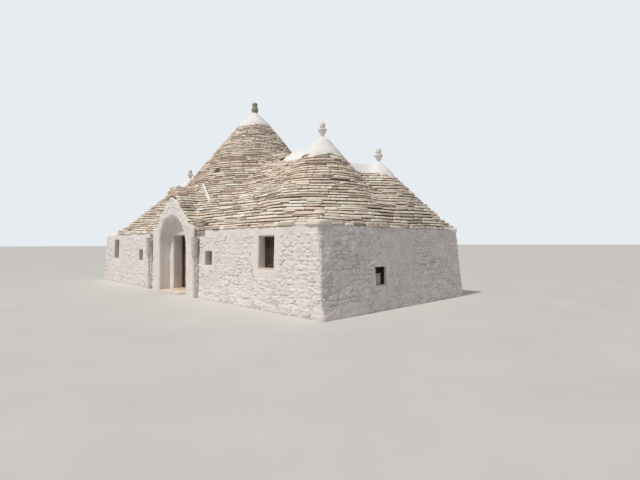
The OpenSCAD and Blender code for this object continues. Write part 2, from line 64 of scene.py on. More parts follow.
# ---- sizes, the same as in the part's source, in metres ----
HALF_L, HALF_D, WALL_H = 7.4, 3.05, 2.06
BATTER, END_BATTER = 0.055, 0.20
PX, DOOR_X, ROW_X = 0.14, -0.04, -0.235   # middles of the portal, the door and the windows
PORTAL_HALF, PORTAL_OUT = 1.57, 0.08
ARCH_R, SPRING = 1.045, 1.56
FRONT_Y = -HALF_D - PORTAL_OUT
NICHE_Y = -HALF_D + 0.31
ROOM_Y = HALF_D - 0.9
GABLE_Z = 3.24
DOOR_W, DOOR_TOP = 1.05, 1.95
WIN_X, WIN_W, WIN_Z, WIN_H = 5.583, 0.635, 1.01, 0.83
SMALL_X, SMALL_W = 2.693, 0.42
WIN_Y = -HALF_D + BATTER / 2 + 0.20
METER = (-HALF_D + 1.86, -HALF_D + 2.30, 0.61, 1.07)   # y and z limits of the meter niche
EX, EY = 7.21, 3.005                      # half sizes of the roof plan
# axis and point of each cone
CONES = {"tall": (-0.13, 0.45, 6.95), "front": (4.85, -0.58, 4.86),
         "back": (5.60, 1.15, 4.22), "left": (-4.80, -0.05, 4.80)}


# ---- noise helpers ----
def rnd(i, j, seed=0):
    """Repeatable numbers 0..1 for whole-number cells."""
    i = np.asarray(i).astype(np.int64)
    j = np.asarray(j).astype(np.int64)
    h = (i * 374761393 + j * 668265263 + seed * 982451653) & 0x7FFFFFFF
    h = ((h ^ (h >> 13)) * 1274126177) & 0x7FFFFFFF
    h = ((h ^ (h >> 16)) * 1103515245) & 0x7FFFFFFF
    return ((h ^ (h >> 15)) & 0xFFFFFF) / float(0xFFFFFF)


def vnoise(x, y, seed=0):
    """Smooth noise from -1 to 1, with one value per whole-number cell."""
    x0, y0 = np.floor(x), np.floor(y)
    fx, fy = x - x0, y - y0
    fx = fx * fx * (3 - 2 * fx)
    fy = fy * fy * (3 - 2 * fy)
    a = rnd(x0, y0, seed) * (1 - fx) + rnd(x0 + 1, y0, seed) * fx
    b = rnd(x0, y0 + 1, seed) * (1 - fx) + rnd(x0 + 1, y0 + 1, seed) * fx
    return (a * (1 - fy) + b * fy) * 2 - 1


def fbm(x, y, seed=0):
    """Three layers of noise, each twice as fine and half as strong."""
    return sum(0.5 ** k * vnoise(x * 2 ** k, y * 2 ** k, seed + 17 * k) for k in range(3)) / 1.75


def cells(x, y, seed=0, jx=0.85, jy=0.85):
    """Distance to the nearest and second seed, the nearest seed's number,
    and the way from it. Distances are squarish, as stones are."""
    x0, y0 = np.floor(x), np.floor(y)
    f1 = np.full(np.shape(x), 9.0)
    f2 = np.full(np.shape(x), 9.0)
    who, ox, oy = np.zeros(np.shape(x)), np.zeros(np.shape(x)), np.zeros(np.shape(x))
    for di in (-1, 0, 1):
        for dj in (-1, 0, 1):
            cx, cy = x0 + di, y0 + dj
            dx = x - (cx + 0.5 + (rnd(cx, cy, seed) - 0.5) * jx)
            dy = y - (cy + 0.5 + (rnd(cx, cy, seed + 5) - 0.5) * jy)
            d = 0.45 * np.hypot(dx, dy) + 0.60 * np.maximum(np.abs(dx), np.abs(dy))
            near = d < f1
            f2 = np.where(near, f1, np.minimum(f2, d))
            who = np.where(near, rnd(cx, cy, seed + 9), who)
            ox, oy = np.where(near, dx, ox), np.where(near, dy, oy)
            f1 = np.where(near, d, f1)
    return f1, f2, who, ox, oy


def smooth(a, b, x):
    """0 at a, 1 at b, and a soft step between."""
    t = np.clip((x - a) / (b - a), 0, 1)
    return t * t * (3 - 2 * t)


# ---- roof form, as in the part's source ----
SOFT = 0.3                                # width of the rounding where two parts meet
# fall below the point by the distance from the axis: tall, front and back cone, and porch roof
PROF_A = ([0, 0.65, 3.1, 6.0], [0, 0.62, 3.68, 6.29])
PROF_B = ([0, 0.22, 0.38, 0.56, 1.09, 1.22, 1.45, 4.0],
          [0, 0.17, 0.41, 0.61, 1.25, 1.53, 1.91, 4.205])
PROF_C = ([0, 0.19, 0.37, 0.47, 1.07, 1.44, 1.75, 4.0],
          [0, 0.19, 0.41, 0.54, 1.14, 1.51, 1.77, 3.345])
PROF_P = ([0, 0.25, 0.45, 0.93, 1.17, 1.67, 4.0], [0, 0.10, 0.30, 0.82, 1.12, 1.66, 6.16])
# ridges: height at the first and the second cone's axis, slope of the sides
RIDGES = {("tall", "front"): (5.28, 4.38, 0.88), ("front", "back"): (4.10, 4.10, 1.2),
          ("tall", "left"): (4.37, 4.37, 0.88), ("tall", "back"): (3.95, 3.95, 0.85)}
LEFT_SLOPE, HIP_SLOPE, EAVE_T = 0.88, 1.8, 0.095
PORCH_UP, PORCH_HALF = 0.36, 2.6          # ridge of the porch roof over the gable, half its width
CORNER_R, CORNER_LEFT, CORNER_NEAR = 0.5, 1.6, 0.12   # back right, left, near corner of the plan


def smax(a, b, k=SOFT):
    """The higher of two heights, rounded where they meet."""
    t = np.maximum(k - np.abs(a - b), 0) / k
    return np.maximum(a, b) + t * t * k / 4


def smin(a, b, k=SOFT):
    t = np.maximum(k - np.abs(a - b), 0) / k
    return np.minimum(a, b) - t * t * k / 4


def along(x, y, p, q):
    """Share of the way from p to q, and the distance from that stretch."""
    lx, ly = q[0] - p[0], q[1] - p[1]
    t = np.clip(((x - p[0]) * lx + (y - p[1]) * ly) / (lx * lx + ly * ly), 0, 1)
    return t, np.hypot(x - p[0] - t * lx, y - p[1] - t * ly)


def away(x, y, cone):
    """Distance from a cone's axis."""
    return np.hypot(x - cone[0], y - cone[1])


def hip_dist(x, y):
    """Distance outside (above 0) or inside the rounded roof plan."""
    r = np.where(x < 0, CORNER_LEFT, np.where(y < 0, CORNER_NEAR, CORNER_R))
    qx, qy = np.abs(x) - EX + r, np.abs(y) - EY + r
    return (np.hypot(np.maximum(qx, 0), np.maximum(qy, 0))
            + np.minimum(np.maximum(qx, qy), 0) - r)


def form(x, y):
    """Height of the roof: cones, ridges, hips and porch roof."""
    A, B, C, D = CONES.values()
    a = A[2] - np.interp(away(x, y, A), *PROF_A)
    b = B[2] - np.interp(away(x, y, B), *PROF_B)
    c = C[2] - np.interp(away(x, y, C), *PROF_C)
    d = D[2] - LEFT_SLOPE * away(x, y, D)
    rr = []
    for (p, q), (z0, z1, slope) in RIDGES.items():
        t, off = along(x, y, CONES[p], CONES[q])
        rr.append(z0 + (z1 - z0) * t - slope * off)
    r1, r2, r3, r4 = rr
    body = smax(smax(smax(a, b), smax(c, d)), smax(smax(r1, r2), smax(r3, r4)))
    hd = hip_dist(x, y)
    hip = WALL_H + EAVE_T - HIP_SLOPE * hd + 2.0 * np.maximum(-hd - 0.8, 0) ** 2
    z = np.maximum(smin(hip, body), WALL_H + 0.04)
    porch = GABLE_Z + PORCH_UP - np.interp(np.abs(x - PX), *PROF_P)
    m = (y < A[1]) & (np.abs(x - PX) < PORCH_HALF)
    return np.where(m, np.maximum(z, smax(z, porch) - 0.012), z)


# ---- mesh helpers ----
# corners of a square, in order
SQUARE = ((0, 0), (1, 0), (1, 1), (0, 1))


def new_obj(name, verts, faces, mat, body="building", slot="whitewash", tone=None,
            smooth_shade=True):
    me = bpy.data.meshes.new(name)
    me.from_pydata([tuple(v) for v in np.reshape(verts, (-1, 3))], [], [tuple(f) for f in faces])
    me.validate()
    if tone is not None:
        at = me.color_attributes.new("tone", "FLOAT_COLOR", "POINT")
        at.data.foreach_set("color", np.asarray(tone, dtype=np.float32).ravel())
    me.materials.append(mat)
    if smooth_shade:
        me.polygons.foreach_set("use_smooth", [True] * len(me.polygons))
    ob = bpy.data.objects.new(name, me)
    bpy.context.scene.collection.objects.link(ob)
    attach(ob, body)
    return ob


def run(p):
    """Distance from the start of a line at each of its points."""
    return np.concatenate([[0], np.cumsum(np.hypot(*np.diff(p, axis=0).T))])


def tone_of(n, rgb=(1, 1, 1), share=1.0):
    """One colour for n points; whitewash takes it by the share."""
    return np.tile(np.array([*rgb, share]), (n, 1))


def grid_faces(idx, flip=False):
    """Faces between the rows and columns of an array of point numbers."""
    a, b, c, d = idx[:-1, :-1], idx[1:, :-1], idx[1:, 1:], idx[:-1, 1:]
    return np.stack([a, d, c, b] if flip else [a, b, c, d], -1).reshape(-1, 4).tolist()


def numbers(m, n):
    """Numbers of the points of m rows of n."""
    return np.arange(m * n).reshape(m, n)


def tube_faces(m, n):
    """Faces of m rings of n points, and of the two ends."""
    idx = numbers(m, n)
    return (grid_faces(np.hstack([idx, idx[:, :1]]), flip=True)
            + [idx[0, ::-1].tolist(), idx[-1].tolist()])


def open_edges(faces):
    """Edges with a face on one side only."""
    edges = {}
    for q in faces:
        for a, b in zip(q, q[1:] + q[:1]):
            if (b, a) in edges:
                del edges[(b, a)]
            else:
                edges[(a, b)] = True
    return list(edges)


def merge(parts):
    """Several (points, faces) as one."""
    faces, base = [], 0
    for v, f in parts:
        faces.extend(tuple(i + base for i in q) for q in f)
        base += len(v)
    return np.vstack([v for v, _ in parts]), faces


def stones(name, items, slot="cream_stone", floor=-9.0, smooth_shade=True):
    """Several stones as one piece; an item is (points, faces, colour)."""
    verts, faces = merge([(v, f) for v, f, _ in items])
    verts[:, 2] = np.maximum(verts[:, 2], floor)
    tone = np.vstack([tone_of(len(v), c) for v, _, c in items])
    return new_obj(name, verts, faces, M_SLAB, slot=slot, tone=tone, smooth_shade=smooth_shade)


# ---- materials; a colour stop is (place, red, green, blue) ----
LIME = ((0.30, 0.80, 0.775, 0.725), (0.52, 0.865, 0.85, 0.82), (0.75, 0.90, 0.893, 0.88))
LIME_SPOTS = ((0.30, 0.60, 0.555, 0.48), (0.46, 0.93, 0.92, 0.90), (0.7, 1, 1, 1))


def mat_new(name, **values):
    """A material with one Principled shader and the values given for it."""
    m = bpy.data.materials.new(name)
    m.use_nodes = True
    nt = m.node_tree
    nt.nodes.clear()
    out = nt.nodes.new("ShaderNodeOutputMaterial")
    bs = nt.nodes.new("ShaderNodeBsdfPrincipled")
    nt.links.new(bs.outputs[0], out.inputs[0])
    for key, v in values.items():
        bs.inputs[key.replace("_", " ")].default_value = v
    return m, nt, bs


def noise(nt, coord, scale, detail, rough):
    n = nt.nodes.new("ShaderNodeTexNoise")
    for key, v in (("Scale", scale), ("Detail", detail), ("Roughness", rough)):
        n.inputs[key].default_value = v
    nt.links.new(coord, n.inputs["Vector"])
    return n.outputs[0]


def ramp(nt, src, stops):
    r = nt.nodes.new("ShaderNodeValToRGB")
    el = r.color_ramp.elements
    el[0].position, el[0].color = stops[0][0], (*stops[0][1:], 1)
    el[1].position, el[1].color = stops[-1][0], (*stops[-1][1:], 1)
    for p, *c in stops[1:-1]:
        el.new(p).color = (*c, 1)
    nt.links.new(src, r.inputs[0])
    return r.outputs[0]


def mix(nt, fac, a, b, blend="MIX"):
    m = nt.nodes.new("ShaderNodeMix")
    m.data_type, m.blend_type = "RGBA", blend
    for sock, v in ((m.inputs[0], fac), (m.inputs[6], a), (m.inputs[7], b)):
        if isinstance(v, (int, float)):
            sock.default_value = v
        else:
            nt.links.new(v, sock)
    return m.outputs[2]


def bump(nt, bs, height, strength, dist):
    b = nt.nodes.new("ShaderNodeBump")
    b.inputs["Strength"].default_value = strength
    b.inputs["Distance"].default_value = dist
    nt.links.new(height, b.inputs["Height"])
    nt.links.new(b.outputs[0], bs.inputs["Normal"])


def coords(nt, scale=(1, 1, 1)):
    mp = nt.nodes.new("ShaderNodeMapping")
    mp.inputs["Scale"].default_value = scale
    nt.links.new(nt.nodes.new("ShaderNodeTexCoord").outputs["Object"], mp.inputs["Vector"])
    return mp.outputs[0]


def tone_node(nt):
    """The colour stored with the mesh."""
    n = nt.nodes.new("ShaderNodeAttribute")
    n.attribute_name = "tone"
    return n.outputs


def mat_whitewash(name, dirt, bumpy=1.0, toned=True, tint=(1, 1, 1)):
    m, nt, bs = mat_new(name, Roughness=0.92, Specular_IOR_Level=0.25)
    v = coords(nt)
    big, mid, fine = [noise(nt, v, *k) for k in ((1.3, 5, 0.6), (9.0, 6, 0.7), (46.0, 5, 0.65))]
    base = ramp(nt, big, [(p, *(a * b for a, b in zip(c, tint))) for p, *c in LIME])
    col = mix(nt, dirt, base, ramp(nt, mid, LIME_SPOTS), "MULTIPLY")
    if toned:
        tone = tone_node(nt)
        col = mix(nt, tone["Alpha"], col, tone["Color"], "MULTIPLY")
    nt.links.new(col, bs.inputs["Base Color"])
    bump(nt, bs, mix(nt, 0.45, mid, fine), 0.55 * bumpy, 0.02)
    return m


def mat_slabs():
    m, nt, bs = mat_new("roof_stone", Roughness=0.93, Specular_IOR_Level=0.2)
    v = coords(nt)
    patch = noise(nt, v, 5.5, 6, 0.7)
    fine = noise(nt, coords(nt, (1, 1, 2.6)), 38.0, 6, 0.7)
    speck = noise(nt, v, 95.0, 3, 0.6)
    col = tone_node(nt)["Color"]
    for share, src, stops in (
            (1.0, patch, ((0.30, 0.82, 0.79, 0.76), (0.5, 0.98, 0.965, 0.95), (0.72, 1.05, 1.045, 1.04))),
            (0.85, fine, ((0.32, 0.78, 0.745, 0.71), (0.5, 0.99, 0.98, 0.97), (0.7, 1.08, 1.075, 1.06))),
            (0.6, speck, ((0.35, 0.86, 0.84, 0.80), (0.6, 1, 1, 1)))):
        col = mix(nt, share, col, ramp(nt, src, stops), "MULTIPLY")
    nt.links.new(col, bs.inputs["Base Color"])
    bump(nt, bs, mix(nt, 0.5, patch, fine), 0.7, 0.02)
    return m


def mat_plain(name, scale, *stops, stretch=(1, 1, 1), rough=0.7, metallic=0.0, bump_s=0.3,
              bump_d=0.004):
    m, nt, bs = mat_new(name, Roughness=rough, Metallic=metallic, Specular_IOR_Level=0.4)
    v = coords(nt, stretch)
    f = mix(nt, 0.35, noise(nt, v, scale, 6, 0.65), noise(nt, v, scale * 5, 4, 0.6))
    nt.links.new(ramp(nt, f, stops), bs.inputs["Base Color"])
    bump(nt, bs, f, bump_s, bump_d)
    return m


def mat_even(name, scale, *stops, **values):
    """A smooth face with a slow change of colour."""
    m, nt, bs = mat_new(name, **values)
    nt.links.new(ramp(nt, noise(nt, coords(nt), scale, 3, 0.5), stops), bs.inputs["Base Color"])
    return m


M_WALL = mat_whitewash("whitewash_wall", 0.45, tint=(0.99, 0.958, 0.974))
M_SMOOTH = mat_whitewash("whitewash_smooth", 0.22, bumpy=0.5, tint=(1.015, 0.972, 0.952))
M_SOLID = mat_whitewash("whitewash_solid", 0.35, toned=False)
M_CREST = mat_whitewash("whitewash_crest", 0.25, bumpy=0.8, tint=(1.04, 1.055, 1.085))
M_SLAB = mat_slabs()
# painted shade: the core seen between the slabs is dark brown, as the shaded gaps are
M_CORE_SHADE = mat_plain("slab_core_shade", 9, (0.3, 0.062, 0.044, 0.032), (0.7, 0.150, 0.112, 0.084), rough=0.95)
M_WOOD = mat_plain("dark_wood_grain", 9, (0.25, 0.042, 0.021, 0.013), (0.5, 0.098, 0.050, 0.030),
                   (0.75, 0.13, 0.075, 0.045), stretch=(6, 6, 0.5), rough=0.55, bump_s=0.4, bump_d=0.003)
M_IRON = mat_plain("black_iron_worn", 30, (0.3, 0.012, 0.011, 0.010), (0.7, 0.05, 0.042, 0.036),
                   rough=0.5, metallic=0.8)
M_PIPE = mat_plain("pipe_weathered", 6, (0.25, 0.50, 0.47, 0.42), (0.5, 0.68, 0.66, 0.62),
                   (0.8, 0.76, 0.745, 0.71), stretch=(4, 4, 0.5), rough=0.6)
M_METER = mat_plain("meter_tan", 14, (0.3, 0.40, 0.32, 0.22), (0.7, 0.56, 0.47, 0.35), rough=0.55)
# painted shade: near black for the inside of the meter niche
M_NICHE_SHADE = mat_plain("niche_painted_shade", 10, (0.3, 0.035, 0.030, 0.026), (0.7, 0.075, 0.066, 0.056), rough=0.9)
M_TOPSTONE = mat_plain("pinnacle_grey_stone", 14, (0.28, 0.20, 0.18, 0.15), (0.5, 0.34, 0.31, 0.26),
                       (0.75, 0.50, 0.47, 0.41), rough=0.92, bump_s=0.8, bump_d=0.02)
M_CLAYPIPE = mat_plain("pipe_clay_tan", 10, (0.28, 0.47, 0.39, 0.35), (0.5, 0.63, 0.545, 0.495),
                       (0.75, 0.735, 0.65, 0.605), rough=0.85, bump_s=0.4, bump_d=0.006)
M_GREYWOOD = mat_plain("wood_grey_weathered", 9, (0.25, 0.10, 0.080, 0.066), (0.5, 0.17, 0.145, 0.122),
                       (0.78, 0.27, 0.235, 0.205), stretch=(0.6, 6, 6), rough=0.8, bump_s=0.5)
M_PALE = mat_plain("meter_pale", 20, (0.3, 0.42, 0.40, 0.37), (0.7, 0.62, 0.60, 0.56), rough=0.5)
M_FLOOR_IN = mat_plain("floor_flags", 5, (0.3, 0.42, 0.36, 0.28), (0.7, 0.60, 0.54, 0.44), rough=0.8)
M_GLASS = mat_even("window_glass_dark", 3.0, (0.35, 0.020, 0.021, 0.024), (0.7, 0.055, 0.058, 0.065),
                   Roughness=0.08, IOR=1.5)

# materials of the CAD solids that stay in view; all others are whitewashed
node_mats = {name: mat for mat, names in (
    (M_FLOOR_IN, "floor_slab"), (M_WOOD, "door_frame"), (M_PIPE, "pipe_clips"),
    (M_IRON, "door_straps door_pintles door_pull"), (M_GLASS, "window_glass_right window_glass_left"),
    (M_CORE_SHADE, "roof_tall_cone roof_front_cone roof_back_cone roof_left_cone"),
) for name in names.split()}

for name in frame["nodes"]:
    o = bpy.data.objects.get(name)
    if o is None:
        continue
    mt = node_mats.get(name, M_SOLID)
    if o.material_slots:
        for s in o.material_slots:
            s.material = mt
    else:
        o.data.materials.append(mt)


# ---- roof slabs ----
GP = 0.045                                # step of the height grid
gx = np.arange(-EX - 0.001, EX + GP, GP)
gy = np.arange(-EY - 0.001 - 3 * GP, EY + GP, GP)
GX, GY = np.meshgrid(gx, gy)


def lift(x, y):
    """Slow rise and fall of the courses along their length."""
    return 0.030 * vnoise(x * 0.55 + 3.1, y * 0.55, 31) + 0.012 * vnoise(x * 1.9, y * 1.9, 32)


def solid_tops(xx, yy):
    """Heights of the solid roofs under the slabs, -9 where there is none."""
    out = np.full(xx.shape, -9.0)
    solids = [bpy.data.objects["roof_%s_cone" % k] for k in CONES]
    down = Vector((0, 0, -1))
    for at in np.ndindex(xx.shape):
        p = Vector((xx[at], yy[at], 9))
        for o in solids:
            hit, loc = o.ray_cast(p, down)[:2]
            if hit and loc.z > out[at]:
                out[at] = loc.z
    return out


# the slabs lie over the drawn form, and nowhere under the solids
H_GRID = np.maximum(form(GX, GY), solid_tops(GX, GY) + 0.006)
HL_GRID = H_GRID + lift(GX, GY)


def roof(x, y):
    """Height of the roof, read between the points of the height grid."""
    fx = np.clip((np.asarray(x, float) - gx[0]) / GP, 0, len(gx) - 1.001)
    fy = np.clip((np.asarray(y, float) - gy[0]) / GP, 0, len(gy) - 1.001)
    i, j = fx.astype(int), fy.astype(int)
    u, v = fx - i, fy - j
    return ((H_GRID[j, i] * (1 - u) + H_GRID[j, i + 1] * u) * (1 - v)
            + (H_GRID[j + 1, i] * (1 - u) + H_GRID[j + 1, i + 1] * u) * v)


# cell edges that a contour joins, by which of the cell's corners are high
CELL_EDGES = {1: [(3, 0)], 2: [(0, 1)], 3: [(3, 1)], 4: [(1, 2)], 5: [(3, 2), (1, 0)], 6: [(0, 2)],
              7: [(3, 2)], 8: [(2, 3)], 9: [(2, 0)], 10: [(0, 3), (2, 1)], 11: [(2, 1)],
              12: [(1, 3)], 13: [(1, 0)], 14: [(0, 3)]}


def contour(F, level):
    """Polylines of one level of a height grid."""
    s = F > level
    code = s[:-1, :-1] * 1 + s[:-1, 1:] * 2 + s[1:, 1:] * 4 + s[1:, :-1] * 8
    nxt = {}

    def key(j, i, e):
        """Edge e of a cell: (0, j, i) runs along x and (1, j, i) along y."""
        return (e % 2, j + (e == 2), i + (e == 1))

    def point(o, j, i):
        f0, f1 = F[j, i], F[j + o, i + 1 - o]
        t = (level - f0) / (f1 - f0)
        return (gx[i], gy[j] + t * GP) if o else (gx[i] + t * GP, gy[j])

    for j, i in np.argwhere((code > 0) & (code < 15)).tolist():
        for e0, e1 in CELL_EDGES[int(code[j, i])]:
            k0, k1 = key(j, i, e0), key(j, i, e1)
            nxt.setdefault(k0, []).append(k1)
            nxt.setdefault(k1, []).append(k0)
    seen, out = set(), []
    ends = [k for k, v in nxt.items() if len(v) == 1]
    for start in ends + list(nxt):
        if start in seen:
            continue
        line, step = [], [start]
        while step:
            seen.add(step[0])
            line.append(step[0])
            step = [k for k in nxt[step[0]] if k not in seen]
        closed = len(line) > 3 and start in nxt[line[-1]] and len(nxt[start]) == 2
        p = np.array([point(*k) for k in line])
        if closed:
            p = np.vstack([p, p[:1]])
        if len(p) > 3:
            out.append((p, closed))
    return out


def grad(f, x, y, e):
    """Slopes of a height function along x and y."""
    return (f(x + e, y) - f(x - e, y)) / (2 * e), (f(x, y + e) - f(x, y - e)) / (2 * e)


WHITE_Z = 6.27                            # the tall cone is whitewashed above this
WHITE_R = (0.64, 0.56, 0.50)              # and the other three this far round the point


def white_mask(x, y):
    """Above 0 where the roof is whitewashed."""
    z = roof(x, y)
    wob = 0.05 * vnoise(x * 2.2, y * 2.2, 71) + 0.03 * vnoise(x * 6.0, y * 6.0, 72)
    A, B, C, D = CONES.values()
    m = (z - WHITE_Z) + 0.6 * wob
    for cone, r in zip((B, C, D), WHITE_R):
        m = np.maximum(m, r - away(x, y, cone) + wob)
    # crests: from part of the way to the tall cone, and between the right cones
    t, off = along(x, y, A, B)
    m = np.maximum(m, np.minimum(0.36 + 1.4 * wob - off, (t - 0.64) * 4 + 2 * wob))
    t, off = along(x, y, A, D)
    m = np.maximum(m, np.minimum(0.22 + wob - off, (t - 0.76) * 4 + wob))
    m = np.maximum(m, 0.34 + wob - along(x, y, B, C)[1])
    # flat corners of the wall top outside the rounded roof plan
    hd = hip_dist(x, y)
    sq = np.maximum(np.abs(x) - EX, np.abs(y) - EY)
    return np.maximum(m, np.minimum(hd + 0.06 + wob, (hd - sq - 0.022) * 3))


STONE_FACES = {stations: tube_faces(stations, 6) for stations in (4, 5)}


def draw(a, b):
    return float(rng.uniform(a, b))


def course_stone(px, py, nx, ny, z0, t, depth, proud):
    """One slab along the course line; each array holds a value for each station."""
    ns = len(px)
    tilt = draw(-0.07, 0.07)
    skew = draw(-0.012, 0.012)
    # way out and share of the thickness, from the lower front edge round to the back
    sec = np.array([(-0.016, 0.02), (0.004, 0.16), (-0.008, 0.66), (-0.036, 0.98),
                    (-depth, 1.0), (-depth, 0.0)])
    V = np.zeros((ns, 6, 3))
    wave = rng.uniform(-0.008, 0.008, ns)
    for i in range(ns):
        end = i == 0 or i == ns - 1
        off = sec[:, 0].copy()
        zz = sec[:, 1] * t
        off[:4] += proud + wave[i] + skew * (2 * i / (ns - 1) - 1) + rng.uniform(-0.005, 0.005, 4)
        if end:
            off[:4] -= draw(0.010, 0.034)
        zz[:2] += draw(0.0, 0.10 if end else 0.05) * t
        zz[2:4] -= draw(0.0, 0.16 if end else 0.07) * t
        zz = zz + tilt * (i / (ns - 1) - 0.5) * t * 2
        V[i, :, 0] = px[i] + nx[i] * off
        V[i, :, 1] = py[i] + ny[i] * off
        V[i, :, 2] = z0[i] + zz
    return V.reshape(-1, 3)


HOLE_ON_A = (0.74, -1.72, 4.22)           # a slab is missing on the tall cone
LENGTHS = [0.15, 0.21, 0.28, 0.37, 0.48, 0.62]
ODDS, EAVE_ODDS = [.10, .18, .24, .23, .16, .09], [.05, .12, .25, .28, .2, .1]
FIRST_COURSE, LAST_COURSE = WALL_H + 0.098, 6.55
LOW_Z, THIN_Z, POINT_Z = 2.9, 4.6, 5.2    # slabs are longer below, thinner above, shorter above
DOUBLES = 0.16                            # share of slabs laid as two thin ones
MIDDLE = (-2.9, 2.95)                     # x limits of the middle piece of the roof
CREAM, GREY = np.array([0.985, 0.93, 0.865]), np.array([0.79, 0.725, 0.675])
# kinds of stone: upper limit of the draw, share of the course's own colour, colour
STONE_KINDS = ((0.15, 0.30, (0.46, 0.38, 0.32)), (0.36, 0.35, (0.97, 0.93, 0.88)),
               (0.50, 0.4, (0.64, 0.58, 0.56)), (0.66, 0.5, (0.90, 0.78, 0.71)))


def stone_tone(x, y, z):
    """Colour of one slab: creamier near the eave and the tall point, greyer between."""
    up = 0.85 * smooth(3.0, 4.5, z) * (1 - 0.9 * smooth(4.8, 5.6, z))
    up = np.clip(up + 0.15 * vnoise(x * 0.9, y * 0.9, 61), 0, 1)
    c = CREAM * (1 - up) + GREY * up
    kind = rng.random()
    for limit, keep, colour in STONE_KINDS:
        if kind < limit:
            c = c * keep + np.array(colour) * (1 - keep)
            break
    c = c * np.array([1.035, 1.0, 0.955])
    return np.minimum(c * draw(0.80, 1.16), 0.99)


def walk(line, closed, odds, scale):
    """Stations of the stones laid end to end along a line."""
    s = run(line)
    total = s[-1]
    if total < 0.2:
        return
    pos = 0.0 if closed else draw(0, 0.15)
    while pos < total - 0.06:
        L = float(rng.choice(LENGTHS, p=odds)) * draw(0.85, 1.2) * scale
        L = min(L, total - pos)
        if total - pos - L < 0.08:
            L = total - pos
        gap = draw(0.003, 0.016)
        a, b = pos + gap / 2, pos + L - gap / 2
        pos += L
        if b - a < 0.045:
            continue
        u = np.array([0, 0.12, 0.5, 0.88, 1.0]) if L > 0.2 else np.array([0, 0.2, 0.8, 1.0])
        ss = a + (b - a) * u
        yield np.interp(ss, s, line[:, 0]), np.interp(ss, s, line[:, 1])


def rim_line():
    """Outline of the roof plan with its rounded corners."""
    pts = []
    for k, (sx, sy) in enumerate(((1, -1), (1, 1), (-1, 1), (-1, -1))):
        r = CORNER_LEFT if sx < 0 else (CORNER_NEAR if sy < 0 else CORNER_R)
        for q in np.linspace(0, math.pi / 2, 13):
            a = q + (k - 1) * math.pi / 2
            pts.append((sx * (EX - r) + r * math.cos(a), sy * (EY - r) + r * math.sin(a)))
    pts = np.array(pts + pts[:1])
    out = []
    for p, q in zip(pts[:-1], pts[1:]):
        n = max(1, int(np.hypot(*(q - p)) / 0.05))
        out.extend(p + (q - p) * i / n for i in range(n))
    return np.array(out + [pts[0]])


def build_roof():
    """All slabs, course by course; the order of the random draws is fixed."""
    groups = {}

    def lay(px, py, nx, ny, z0, t, depth, proud, zref):
        mx, my = px.mean(), py.mean()
        V = course_stone(px, py, nx, ny, z0, t, depth, proud)
        key = "right" if mx > MIDDLE[1] else ("left" if mx < MIDDLE[0] else "middle")
        if my < -2.68 and abs(mx - PX) < PORTAL_HALF and zref > WALL_H + 0.15:
            key = "gable"
        groups.setdefault(key, []).append((V, STONE_FACES[len(px)], stone_tone(mx, my, zref)))

    # eave course on the wall tops
    for px, py in walk(rim_line(), True, EAVE_ODDS, 1.1):
        if py.mean() < 0 and abs(px.mean() - PX) < PORTAL_HALF + 0.09:
            continue
        e = 0.02
        nx = hip_dist(px + e, py) - hip_dist(px - e, py)
        ny = hip_dist(px, py + e) - hip_dist(px, py - e)
        gn = np.hypot(nx, ny) + 1e-9
        t = draw(0.072, 0.104)
        z0 = np.full(len(px), WALL_H - 0.004 + draw(0, 0.012))
        lay(px, py, nx / gn, ny / gn, z0, t, 0.34, draw(0.022, 0.062), WALL_H)
    z = FIRST_COURSE
    while z < LAST_COURSE:
        t = draw(0.068, 0.098)
        if z > THIN_Z:
            t *= 0.90
        size = 1.35 if z < LOW_Z else (0.72 if z > POINT_Z else 1.0)
        for line, closed in contour(HL_GRID, z + 0.004):
            for px, py in walk(line, closed, ODDS, size):
                mx, my = px.mean(), py.mean()
                if white_mask(mx, my) > (0.03 if z > 2.5 else 0.13):
                    continue
                # room for the portal, the shoulder stones and the missing slab
                if z < 2.40 and abs(mx - PX) < PORTAL_HALF + 0.02 and my < -2.6:
                    continue
                if z < 2.31 and -0.05 < mx - PX - PORTAL_HALF < 0.50 and my < -2.80:
                    continue
                if (abs(mx - HOLE_ON_A[0]) < 0.12 and abs(my - HOLE_ON_A[1]) < 0.3
                        and abs(z - HOLE_ON_A[2]) < 0.08):
                    continue
                nx, ny = grad(roof, px, py, 0.03)
                gn = np.hypot(nx, ny) + 1e-9
                nx, ny = -nx / gn, -ny / gn
                # one main direction with a little turn keeps slabs straight
                ax, ay = nx.mean(), ny.mean()
                an = math.hypot(ax, ay) + 1e-9
                nx, ny = 0.5 * nx + 0.5 * ax / an, 0.5 * ny + 0.5 * ay / an
                depth = float(np.clip(0.10 / max(float(gn.mean()), 0.25) + 0.16, 0.2, 0.5))
                # on a narrow crest a slab ends before the far side
                while depth > 0.07 and (roof(px - nx * depth, py - ny * depth) < z - 0.02).any():
                    depth *= 0.75
                proud = draw(0.006, 0.044) + 0.012 * (z < 2.7)
                z0 = z - lift(px, py)
                if rng.random() < DOUBLES and t > 0.075:
                    # two thin slabs in the place of one
                    h = t * draw(0.4, 0.6)
                    lay(px, py, nx, ny, z0, h * 0.86, depth, proud + draw(-0.012, 0.012), z)
                    lay(px, py, nx, ny, z0 + h, (t - h) * 0.86, depth, proud + draw(-0.015, 0.01), z)
                else:
                    lay(px, py, nx, ny, z0, t * draw(0.64, 0.86), depth, proud, z)
        z += t
    for key, items in groups.items():
        ob = stones("slabs_" + key, items, "roof_slabs", smooth_shade=False)
        if key == "gable":
            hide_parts("gable_coping")
        print("slabs", key, len(items), "stones")


build_roof()


# ---- whitewashed points and crests, laid over the slabs ----
LIME_THICK, RIM = 0.066, 0.12             # limewash over the solid, and how deep its rim turns down
COURSE_H, EAVE_BAND = 0.085, 2.6          # mean height of a course; below this the coat is thin


